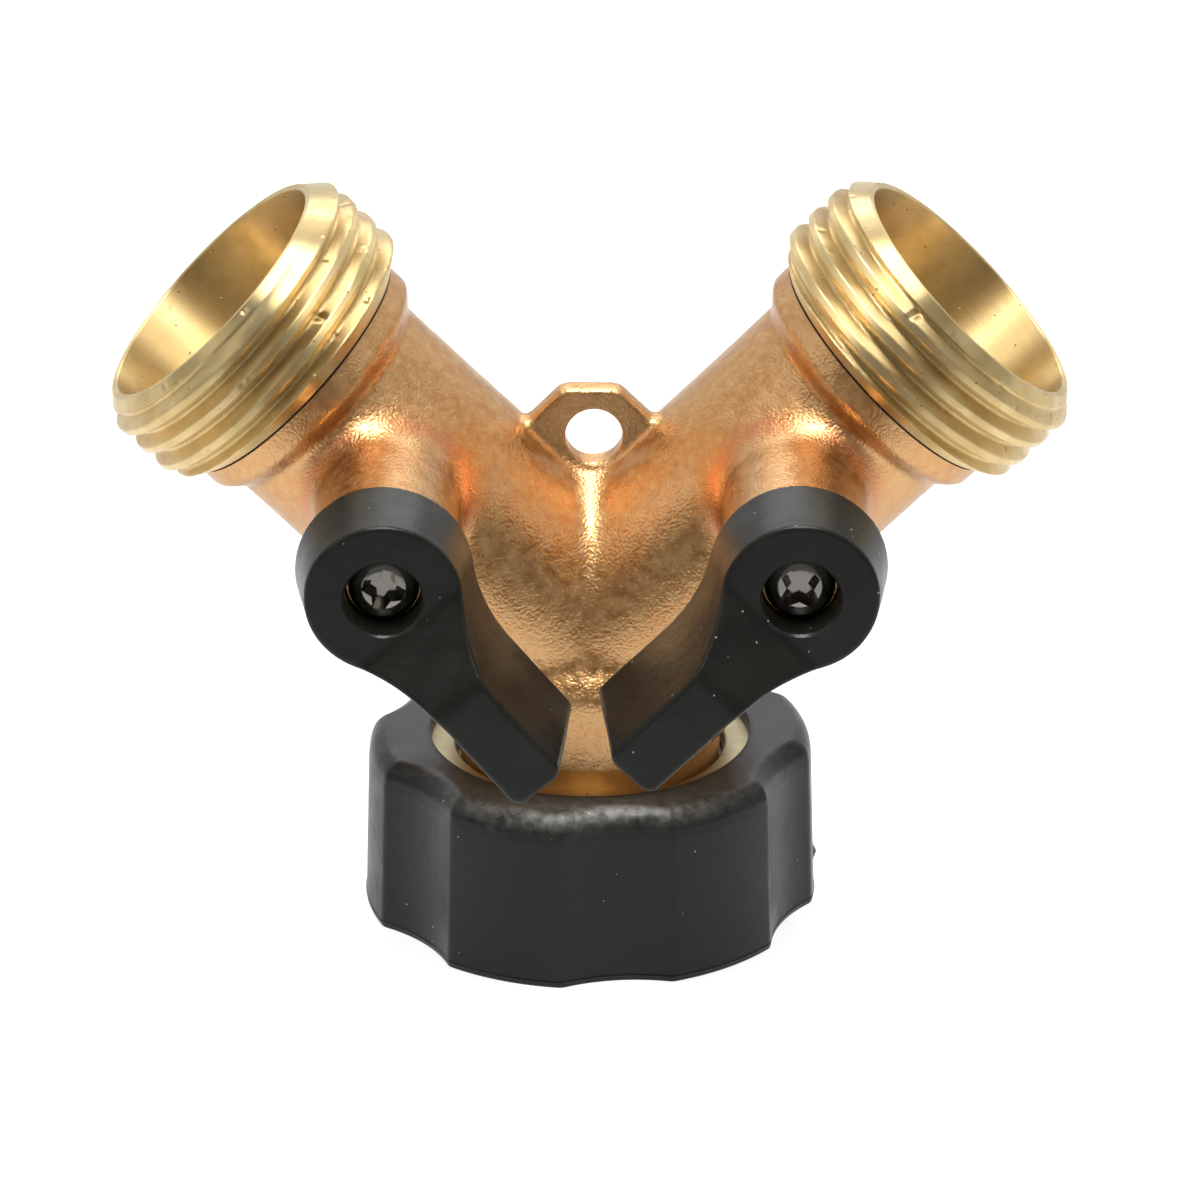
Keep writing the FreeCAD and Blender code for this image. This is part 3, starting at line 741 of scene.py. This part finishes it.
def lever_field(x, y, t):
    """The lever's outside, in the stem frame: the blade runs along -Y."""
    u, v = -y, x
    side = lever_outline_distance(u, v, (t - HUB_BACK_T) * DRAFT) * math.cos(math.atan(DRAFT))
    slope = (BLADE_FACE_T - HUB_FACE_T) / (RAMP_END_U - RAMP_START_U)
    ramp = HUB_FACE_T + np.maximum(u - RAMP_START_U, 0) * slope
    top = smooth_min(smooth_max(HUB_FACE_T + 0 * u, HUB_FACE_T + (u - RAMP_START_U) * slope, 0.35),
                     BLADE_FACE_T + 0 * u, 0.5)
    on_ramp = (u > RAMP_START_U) & (ramp < BLADE_FACE_T)
    front = (t - top) / np.where(on_ramp, math.hypot(1, slope), 1)
    shape = round_join(side, front + 0.025, 0.32)
    shape = round_join(shape, HUB_BACK_T - t, 0.12)
    return shape + 0.02 * ripple(x, y, t, 6, 4, 9, 8)


def lever(side, plastic):
    """A moulded lever with its screw recess, double-D socket and stop groove."""
    pad = 0.6
    low = (-HUB_BACK_R - pad, -BLADE_END_U - pad, HUB_BACK_T - pad)
    high = (HUB_BACK_R + pad, HUB_BACK_R + pad, BLADE_FACE_T + pad)
    made = grown(f"lever_handle_{side}", lever_field, low, high, LEVER_STEP)
    wide = RECESS_R + RECESS_CHAMFER
    recess = lathe("recess", [
        (RECESS_R, RECESS_FLOOR_T), (RECESS_R, HUB_FACE_T - 0.22), (wide, HUB_FACE_T + 0.12),
        (wide, HUB_FACE_T + 3),
    ], 96)
    angles = np.arange(96) / 96 * TURN
    across = np.clip(SOCKET_R * np.sin(angles), -SOCKET_HALF_FLAT, SOCKET_HALF_FLAT)
    double_d = np.column_stack([SOCKET_R * np.cos(angles), across])
    socket = prism("socket", double_d, HUB_BACK_T - 1, RECESS_FLOOR_T + 0.2)
    start, end = sorted((90.0, 90.0 - SIDES[side] * 90.0))
    groove = sector("groove", *GROOVE_R, HUB_BACK_T - 1, GROOVE_END_T,
                    start - GROOVE_PAST_ANGLE, end + GROOVE_PAST_ANGLE, 40)
    combine(made, [recess, socket, groove])
    placed(made, stem_matrix(side, turns=True))
    with_materials(made, plastic)
    finished(made, f"lever_{side}", f"{side}_valve")


def cross_outline(span, width):
    """The outline of a screw's cross recess."""
    a, b = span / 2, width / 2
    quarter = [(a, -b), (a, b), (b * 1.7, b * 1.7)]
    points = []
    for turn in range(4):
        cos, sin = round(math.cos(turn * TURN / 4)), round(math.sin(turn * TURN / 4))
        points += [(x * cos - y * sin, x * sin + y * cos) for x, y in quarter]
    return points


def lever_screw(side, steel):
    """The pan-head screw that holds a lever, with its cross recess."""
    made = lathe(f"pan_screw_{side}", [
        (0.75, SCREW_TIP_T), (SCREW_SHANK_R, SCREW_TIP_T + 0.70), (SCREW_SHANK_R, SCREW_SEAT_T),
        (SCREW_HEAD_R, SCREW_SEAT_T, 0.10), (SCREW_HEAD_R, SCREW_TOP_T - 0.93, 0.25),
        (2.45, SCREW_TOP_T - 0.43, 0.6), (1.70, SCREW_TOP_T - 0.08, 1.2), (0.05, SCREW_TOP_T),
    ], 128)
    recess = prism("recess", cross_outline(CROSS_SPAN, CROSS_WIDTH), CROSS_FLOOR_T, SCREW_TOP_T + 0.52,
                   low_scale=CROSS_FLOOR_SHARE)
    placed(recess, Matrix.Rotation(math.radians(CROSS_TURN[side]), 4, "Z"))
    combine(made, [recess])
    placed(made, stem_matrix(side, turns=True))
    with_materials(made, steel)
    finished(made, f"lever_screw_{side}", f"{side}_valve")


# ---------------------------------------------------------------- swivel nut

def grip_radius(angles):
    """The nut's outline: round lobes with shallow flutes between them."""
    step = TURN / NUT_FLUTES
    chord = NUT_R * math.sin(NUT_FLUTE_HALF)
    depth = NUT_R * math.cos(NUT_FLUTE_HALF) - NUT_FLUTE_R
    curve = (chord ** 2 + depth ** 2) / (2 * depth)
    far = NUT_FLUTE_R + curve
    off = (angles + TURN / 4 - NUT_TURN + step / 2) % step - step / 2
    across = np.minimum(np.abs(far * np.sin(off)), curve * 0.999)
    flute = far * np.cos(off) - np.sqrt(curve ** 2 - across ** 2)
    flute = np.where(np.abs(off) < 1.5 * NUT_FLUTE_HALF, flute, NUT_R + 3)
    return smooth_min(flute, np.full_like(angles, NUT_R), 0.18)


def nut_marks(angles, height):
    """How far burrs and a gouge stand out of the nut's wall."""
    stand = np.zeros_like(angles)
    for middle, level, out, size in NUT_MARKS:
        apart = ((angles - middle + TURN / 2) % TURN - TURN / 2) * NUT_R
        stand += out * np.exp(-(apart ** 2 + (height - level) ** 2) / size ** 2)
    return stand


def nut_grip(plastic):
    """The plastic grip moulded over the nut's insert."""
    segments = 540
    angles = np.arange(segments) / segments * TURN
    outline = grip_radius(angles)
    rows, wear = [], []

    def ring(radius, height, worn=0.0):
        """Add one ring of points, and its share of scuffing and painted highlight."""
        r = np.broadcast_to(radius, angles.shape)
        rows.append(np.column_stack([r * np.cos(angles), r * np.sin(angles), np.full(segments, height)]))
        wear.append(worn)

    foot_heights = [0.0, 0.06, 0.2, 0.38, 0.44, 0.5, 0.56, 0.62, 0.8]
    wall_heights = np.linspace(1.2, NUT_HEIGHT - NUT_TOP_ROUND - 0.3, 48)
    for height in [*foot_heights, *wall_heights]:
        foot = 0.14 * max(0.0, 1 - height / 0.2) ** 2
        seam = FOOT_SEAM * math.exp(-((height - FOOT_SEAM_Z) / 0.06) ** 2)
        wall = outline - 0.08 - foot + seam - NUT_LEAN * height / NUT_HEIGHT
        ring(wall + nut_marks(angles, height), height)
    wall = outline - 0.08 - NUT_LEAN
    for a in np.linspace(0, TURN / 4, 13):
        height = NUT_HEIGHT - NUT_TOP_ROUND * (1 - math.sin(a))
        # Partly scuffing and partly painted highlight: a lighter band round the shoulder, where the top light's
        # highlight falls.
        worn = math.exp(-((a - 1.0) / 0.5) ** 2)
        ring(wall - NUT_TOP_ROUND * (1 - math.cos(a)) + nut_marks(angles, height), height, worn)
    edge_r = GRIP_TOP_R + 0.4
    for share in (0.25, 0.5, 0.75, 0.9):
        radius = (wall - NUT_TOP_ROUND) * (1 - share) + edge_r * share
        ring(radius, NUT_HEIGHT, 0.3 * (1 - share))
    for radius, height in ((edge_r, NUT_HEIGHT), (GRIP_TOP_R + 0.12, NUT_HEIGHT - 0.12),
                           (GRIP_TOP_R, NUT_HEIGHT - 0.4), (GRIP_TOP_R, INSERT_TOP_Z),
                           (GRIP_BORE_R, INSERT_TOP_Z), (GRIP_BORE_R, 0.15), (GRIP_BORE_R + 0.15, 0.0)):
        ring(radius, height)
    made = skin("swivel_grip", np.array(rows), wrap=True)
    worn = made.data.attributes.new("worn", "FLOAT", "POINT")
    # The painted highlight is strongest on the front, the side that faces the camera, and faint elsewhere.
    front = 0.15 + 0.85 * np.maximum(-np.sin(angles), 0) ** 6
    worn.data.foreach_set("value", np.outer(wear, front).ravel().astype(np.float32))
    with_materials(made, plastic)
    finished(made, "nut_grip", "swivel_nut")


def nut_insert(brass):
    """The brass insert: a female hose thread below, and the lip that turns on the neck."""
    segments = 300
    angles = (np.arange(segments) / segments * TURN)[None, :]
    along = np.arange(6.9, 0.2, -0.09)[:, None]
    radius = thread_radius(along, -angles, FEMALE_FIRST_CREST, FEMALE_CREST_R, FEMALE_ROOT_R,
                           FEMALE_CREST_FLAT, FEMALE_FLANK)
    runout = INSERT_CAVITY_R - np.maximum(INSERT_THREAD_END_Z - along, 0) * 1.4
    mouth = 13.1 - np.maximum(along - 0.1, 0) * 1.2
    radius = smooth_max(smooth_max(radius, runout, RUNOUT_EASE), mouth, RUNOUT_EASE)
    top = INSERT_TOP_Z - 0.03
    outer = eased([
        (13.2, 0.0, 0.1), (INSERT_R, 0.0, 0.2), (INSERT_R, top, 0.2), (LIP_R, top, 0.3), (LIP_R, LIP_Z, 0.2),
        (INSERT_CAVITY_R, LIP_Z, 0.3), (INSERT_CAVITY_R, 7.0),
    ], wrap=True)
    rows = np.concatenate([
        turned_rows(radius, along, segments),
        turned_rows(outer[:, 0], outer[:, 1], segments),
    ])
    made = skin("swivel_insert", rows, wrap=True)
    with_materials(made, brass)
    finished(made, "nut_insert", "swivel_nut")


# ---------------------------------------------------------------- materials

class Finish:
    """A material under construction, with short ways to add nodes to it."""

    def __init__(self, name, settings):
        self.material = bpy.data.materials.new(name)
        self.material.use_nodes = True
        self.tree = self.material.node_tree
        self.shader = self.tree.nodes["Principled BSDF"]
        for socket, value in settings.items():
            self.shader.inputs[socket].default_value = value

    def add(self, kind, inputs=(), **settings):
        """A node with its settings, and its inputs linked or set."""
        node = self.tree.nodes.new("ShaderNode" + kind)
        for name, value in settings.items():
            setattr(node, name, value)
        for socket, value in dict(inputs).items():
            if isinstance(value, bpy.types.NodeSocket):
                self.tree.links.new(value, node.inputs[socket])
            else:
                node.inputs[socket].default_value = value
        return node

    def to_shader(self, socket, value):
        """Link a value to the shader."""
        self.tree.links.new(value, self.shader.inputs[socket])

    def place(self):
        """The point on the piece, in millimetres."""
        point = self.add("TexCoord").outputs["Object"]
        return self.add("VectorMath", {0: point, "Scale": 1 / MM}, operation="SCALE").outputs[0]

    def math(self, operation, a, b=0.0):
        """One sum."""
        return self.add("Math", {0: a, 1: b}, operation=operation).outputs[0]

    def noise(self, place, size, detail=2.0, roughness=0.5):
        """Noise whose features are about a size across, in millimetres."""
        settings = {"Vector": place, "Scale": 1 / size, "Detail": detail, "Roughness": roughness}
        return self.add("TexNoise", settings).outputs["Fac"]

    def line_noise(self, distance, size, detail=2.0):
        """Noise that changes only with a distance in millimetres."""
        settings = {"W": distance, "Scale": 1 / size, "Detail": detail}
        return self.add("TexNoise", settings, noise_dimensions="1D").outputs["Fac"]

    def cells(self, place, size, output="Distance", **settings):
        """Voronoi cells about a size across."""
        return self.add("TexVoronoi", {"Vector": place, "Scale": 1 / size}, **settings).outputs[output]

    def ramp(self, value, low, high, to_low=0.0, to_high=1.0, smooth=False):
        """A value carried from one range to another, and held at its ends."""
        kind = "SMOOTHSTEP" if smooth else "LINEAR"
        limits = {"Value": value, "From Min": low, "From Max": high,
                  "To Min": to_low, "To Max": to_high}
        return self.add("MapRange", limits, interpolation_type=kind).outputs[0]

    def mix(self, share, a, b):
        """One colour into another."""
        inputs = {0: share, 6: colour(a), 7: colour(b)}
        return self.add("Mix", inputs, data_type="RGBA").outputs[2]

    def bump(self, height, depth, normal=None):
        """Relief from a height of 0 to 1, which is a depth in millimetres."""
        inputs = {"Strength": 1.0, "Distance": depth * MM, "Height": height}
        if normal is not None:
            inputs["Normal"] = normal
        return self.add("Bump", inputs).outputs["Normal"]

    def about_axis(self, place, origin, direction):
        """Distance along an axis and away from it in millimetres, and the direction away from it."""
        offset = self.add("VectorMath", {0: place, 1: origin}, operation="SUBTRACT").outputs[0]
        dot = self.add("VectorMath", {0: offset, 1: direction}, operation="DOT_PRODUCT")
        along = dot.outputs["Value"]
        foot = self.add("VectorMath", {0: direction, "Scale": along}, operation="SCALE").outputs[0]
        across = self.add("VectorMath", {0: offset, 1: foot}, operation="SUBTRACT").outputs[0]
        away = self.add("VectorMath", {0: across}, operation="LENGTH").outputs["Value"]
        outward = self.add("VectorMath", {0: across}, operation="NORMALIZE").outputs[0]
        return along, away, outward


def colour(value):
    """A colour with its alpha, or a socket as it is."""
    return value if isinstance(value, bpy.types.NodeSocket) else (*value, 1.0)


def cast_bronze():
    """Sand-cast bronze: leathery grain, and redder fillets."""
    look = Finish("cast_bronze", {
        "Metallic": 1.0,
        "Specular Tint": (0.50, 0.44, 0.38, 1),
        "Coat Weight": 0.6,
        "Coat Roughness": 0.20,
        "Coat IOR": 1.5,
    })
    place = look.place()
    fillet = look.add("Attribute", attribute_name="fillet").outputs["Fac"]
    patches = look.noise(place, 6.0, 3.0)
    fine = look.noise(place, 0.9, 3.0, 0.6)
    patch = look.ramp(patches, 0.35, 0.65)
    body = look.mix(patch, (0.57, 0.308, 0.118), (0.55, 0.262, 0.090))
    body = look.mix(look.ramp(fine, 0.35, 0.7), body, (0.64, 0.390, 0.165))
    red = look.ramp(fillet, 0.03, 0.75, smooth=True)
    body = look.mix(look.math("MULTIPLY", red, 0.75), body, (0.60, 0.225, 0.088))
    look.to_shader("Base Color", body)
    pebble = look.cells(place, 0.24, feature="SMOOTH_F1")
    grain = look.noise(place, 0.27, 1.0)
    speck = look.noise(place, 0.11, 1.0)
    raised, sunk = look.math("MULTIPLY", grain, 0.5), look.math("MULTIPLY", pebble, -0.8)
    height = look.math("ADD", raised, sunk)
    normal = look.bump(height, 0.052)
    normal = look.bump(speck, 0.014, normal)
    look.to_shader("Normal", normal)
    look.to_shader("Coat Normal", normal)
    look.to_shader("Roughness", look.ramp(fine, 0.3, 0.7, 0.34, 0.48))
    return look.material


def turned_metal(name, origin, direction, light, dark, rough, stretch=0.72):
    """Turned brass or bronze: tool lines about an axis stretch its highlights across them."""
    look = Finish(name, {"Metallic": 1.0, "Anisotropic": stretch})
    place = look.place()
    along, away, outward = look.about_axis(place, origin, direction)
    leaning = look.add("VectorMath", {0: outward, "Scale": 0.5}, operation="SCALE").outputs[0]
    across_lines = look.add("VectorMath", {0: leaning, 1: direction}, operation="ADD").outputs[0]
    tangent = look.add("VectorMath", {0: across_lines}, operation="NORMALIZE").outputs[0]
    look.to_shader("Tangent", tangent)
    feed = look.math("ADD", along, away)
    lines = look.line_noise(feed, 0.16, 2.0)
    broad = look.line_noise(feed, 0.6, 2.0)
    stain = look.noise(place, 3.0, 4.0, 0.6)
    pits = look.cells(place, 1.3)
    pit = look.ramp(pits, 0.05, 0.09)
    body = look.mix(look.ramp(stain, 0.35, 0.7), light, dark)
    body = look.mix(look.ramp(lines, 0.35, 0.75, 0.0, 0.35), body, dark)
    body = look.mix(look.math("SUBTRACT", 1.0, pit), body, (0.25, 0.15, 0.06))
    look.to_shader("Base Color", body)
    normal = look.bump(lines, 0.006)
    normal = look.bump(broad, 0.014, normal)
    normal = look.bump(pit, 0.03, normal)
    look.to_shader("Normal", normal)
    look.to_shader("Roughness", look.ramp(stain, 0.3, 0.7, rough, rough + 0.10))
    return look.material


def moulded_plastic():
    """Black moulded plastic with a faint grain, scratches, dust, and a lighter grey on the nut's shoulder that is
    partly scuffing and partly a painted highlight.
    """
    look = Finish("moulded_plastic", {"Specular IOR Level": 0.25})
    place = look.place()
    worn = look.add("Attribute", attribute_name="worn").outputs["Fac"]
    dust_cell = look.cells(place, 1.1)
    chosen = look.cells(place, 1.1, "Color")
    pick = look.add("SeparateColor", {0: chosen}).outputs[0]
    near, kept = look.ramp(dust_cell, 0.10, 0.05), look.ramp(pick, 0.80, 0.82)
    dust = look.math("MULTIPLY", near, kept)
    haze = look.noise(place, 4.0, 4.0, 0.6)
    grain = look.noise(place, 0.16, 2.0)
    drawn_out = look.add("Mapping", {
        "Vector": place, "Rotation": (0.4, 0.9, 0.3), "Scale": (1.0, 0.06, 1.0)})
    streak = look.noise(drawn_out.outputs[0], 0.22, 2.0)
    scratch = look.ramp(streak, 0.70, 0.76)
    hazy = look.ramp(haze, 0.3, 0.7)
    base = look.mix(hazy, (0.0065, 0.0065, 0.0050), (0.010, 0.010, 0.0075))
    base = look.mix(look.math("MULTIPLY", scratch, 0.10), base, (0.20, 0.20, 0.19))
    # Partly scuffing and partly a painted highlight: the nut's front shoulder is made lighter grey where the light
    # catches it.
    rub = look.noise(place, 0.9, 4.0, 0.6)
    rubbed_and_highlit = look.math("MULTIPLY", worn, look.ramp(rub, 0.26, 0.70))
    base = look.mix(rubbed_and_highlit, base, (0.23, 0.226, 0.210))
    base = look.mix(look.math("MULTIPLY", dust, 0.7), base, (0.42, 0.41, 0.37))
    look.to_shader("Base Color", base)
    normal = look.bump(grain, 0.010)
    normal = look.bump(haze, 0.10, normal)
    look.to_shader("Normal", normal)
    look.to_shader("Roughness", look.ramp(haze, 0.3, 0.7, 0.28, 0.42))
    return look.material


def plated_steel(name, base, rough):
    """Plated steel with faint wear."""
    look = Finish(name, {"Metallic": 1.0})
    place = look.place()
    wear = look.noise(place, 0.8, 4.0, 0.6)
    look.to_shader("Base Color", look.mix(wear, base, tuple(0.72 * c for c in base)))
    look.to_shader("Roughness", look.ramp(wear, 0.3, 0.7, rough, rough + 0.12))
    look.to_shader("Normal", look.bump(look.noise(place, 0.15, 2.0), 0.003))
    return look.material


def soft_seal(name, base, rough):
    """Moulded rubber or seat plastic."""
    look = Finish(name, {"Specular IOR Level": 0.4})
    place = look.place()
    bloom = look.noise(place, 1.4, 3.0)
    bloomed = tuple(min(1.0, c * 1.5 + 0.004) for c in base)
    look.to_shader("Base Color", look.mix(bloom, base, bloomed))
    look.to_shader("Roughness", look.ramp(bloom, 0.3, 0.7, rough, rough + 0.12))
    look.to_shader("Normal", look.bump(look.noise(place, 0.12, 2.0), 0.006))
    return look.material


def repaint(node, material):
    """Give a kept node its material."""
    mesh = frame["nodes"][node].data
    mesh.materials.clear()
    mesh.materials.append(material)


# ---------------------------------------------------------------- stage

def camera():
    """The camera in front of the splitter, looking down on it a little."""
    elevation, azimuth = math.radians(CAMERA_ELEVATION), math.radians(CAMERA_AZIMUTH)
    level = math.cos(elevation)
    back = Vector((math.sin(azimuth) * level, -math.cos(azimuth) * level, math.sin(elevation)))
    right = Vector((math.cos(azimuth), math.sin(azimuth), 0))
    up = back.cross(right)
    data = bpy.data.cameras.new("camera")
    data.lens = CAMERA_LENS
    data.sensor_width = CAMERA_SENSOR
    data.clip_start = 0.01
    made = bpy.data.objects.new("camera", data)
    bpy.context.scene.collection.objects.link(made)
    target = Vector((0, 0, JUNCTION_Z))
    rotation = Matrix((right, up, back)).transposed().to_4x4()
    place = target + back * CAMERA_DISTANCE - right * CAMERA_SHIFT[0] - up * CAMERA_SHIFT[1]
    made.matrix_world = Matrix.Translation(place * MM) @ rotation
    bpy.context.scene.camera = made


def soft_box(name, place, size, power):
    """A rectangular light that faces the splitter."""
    data = bpy.data.lights.new(name, "AREA")
    data.shape = "RECTANGLE"
    data.size, data.size_y = size
    data.energy = power
    made = bpy.data.objects.new(name, data)
    bpy.context.scene.collection.objects.link(made)
    towards = Vector((0, 0, JUNCTION_Z * MM)) - Vector(place)
    facing = towards.to_track_quat("-Z", "Y").to_matrix().to_4x4()
    made.matrix_world = Matrix.Translation(place) @ facing


def room():
    """Surroundings that are brightest behind the splitter."""
    world = bpy.data.worlds.new("room")
    world.use_nodes = True
    tree = world.node_tree
    background = tree.nodes["Background"]
    background.inputs["Color"].default_value = (0.95, 0.975, 1.0, 1.0)
    direction = tree.nodes.new("ShaderNodeTexCoord").outputs["Generated"]
    split = tree.nodes.new("ShaderNodeSeparateXYZ")
    tree.links.new(direction, split.inputs[0])
    strength = tree.nodes.new("ShaderNodeMapRange")
    strength.inputs["From Min"].default_value = -0.6
    strength.inputs["From Max"].default_value = 0.6
    strength.inputs["To Min"].default_value = ROOM_FRONT
    strength.inputs["To Max"].default_value = ROOM_BACK
    tree.links.new(split.outputs["Y"], strength.inputs["Value"])
    tree.links.new(strength.outputs[0], background.inputs["Strength"])
    bpy.context.scene.world = world


def white_floor():
    """A pale floor that glows, less in front of the splitter and at its sides."""
    reach = FLOOR_REACH
    corners = [(-reach, -reach, 0), (reach, -reach, 0), (reach, reach, 0), (-reach, reach, 0)]
    floor = new_object("floor", np.array(corners), [(0, 1, 2, 3)])
    look = Finish("white_floor", {"Roughness": 0.9, "Base Color": (0.28, 0.28, 0.28, 1),
                                  "Emission Color": (1, 1, 1, 1)})
    point = look.add("SeparateXYZ", {0: look.place()}).outputs
    off = look.math("ABSOLUTE", point[0])
    aside = look.ramp(off, *FLOOR_FADE_X, 1.0, FLOOR_SIDE_SHARE, smooth=True)
    glow = look.ramp(point[1], *FLOOR_FADE_Y, FLOOR_FRONT_GLOW, FLOOR_GLOW, smooth=True)
    look.to_shader("Emission Strength", look.math("MULTIPLY", glow, aside))
    floor.data.materials.append(look.material)


def studio():
    """The room, the floor and the soft lights."""
    room()
    white_floor()
    for soft in SOFT_BOXES:
        soft_box(*soft)
    bpy.context.scene.view_settings.view_transform = "Standard"


# ---------------------------------------------------------------- assembly

def main():
    """Build every shown piece and give every kept one its finish."""
    junction = (0, 0, JUNCTION_Z)
    foot, upright, forward = (0, 0, 0), (0, 0, 1), (0, -1, 0)
    bronze = cast_bronze()
    neck_bronze = turned_metal("turned_bronze", foot, upright, (0.70, 0.36, 0.11), (0.58, 0.27, 0.08), 0.42)
    fitting = {}
    for side, sign in SIDES.items():
        fitting[side] = turned_metal(f"turned_brass_{side}", junction, (sign * HALF_ROOT, 0, HALF_ROOT),
                                     (0.73, 0.565, 0.29), (0.60, 0.43, 0.185), 0.36, 0.90)
    insert = turned_metal("turned_brass_nut", foot, upright, (0.39, 0.33, 0.205), (0.33, 0.27, 0.155), 0.34)
    small = {}
    for side, sign in SIDES.items():
        small[side] = turned_metal(f"turned_brass_stem_{side}", (sign * VALVE.x, 0, VALVE.z), forward,
                                   (0.72, 0.50, 0.20), (0.55, 0.36, 0.12), 0.22)
    plastic = moulded_plastic()
    screw_steel = plated_steel("nickel_plate", (0.38, 0.36, 0.32), 0.10)
    ring_steel = plated_steel("spring_steel", (0.40, 0.38, 0.35), 0.28)
    ball_plate = plated_steel("ball_plate", (0.75, 0.76, 0.78), 0.07)
    rubber = soft_seal("rubber", (0.015, 0.015, 0.015), 0.55)
    seat = soft_seal("seat_plastic", (0.62, 0.61, 0.57), 0.40)

    casting(bronze, neck_bronze)
    nut_grip(plastic)
    nut_insert(insert)
    repaint("neck_snap_ring", ring_steel)
    repaint("hose_washer", rubber)
    for side in SIDES:
        outlet(side, fitting[side])
        lever(side, plastic)
        lever_screw(side, screw_steel)
        kept = {
            "ball": ball_plate, "stem": small[side], "gland": small[side], "lever_washer": small[side],
            "stem_seals": rubber, "outlet_seal": rubber, "inner_seat": seat, "outer_seat": seat,
            "thrust_washer": seat,
        }
        for node, material in kept.items():
            repaint(f"{node}_{side}", material)
    studio()
    camera()


main()
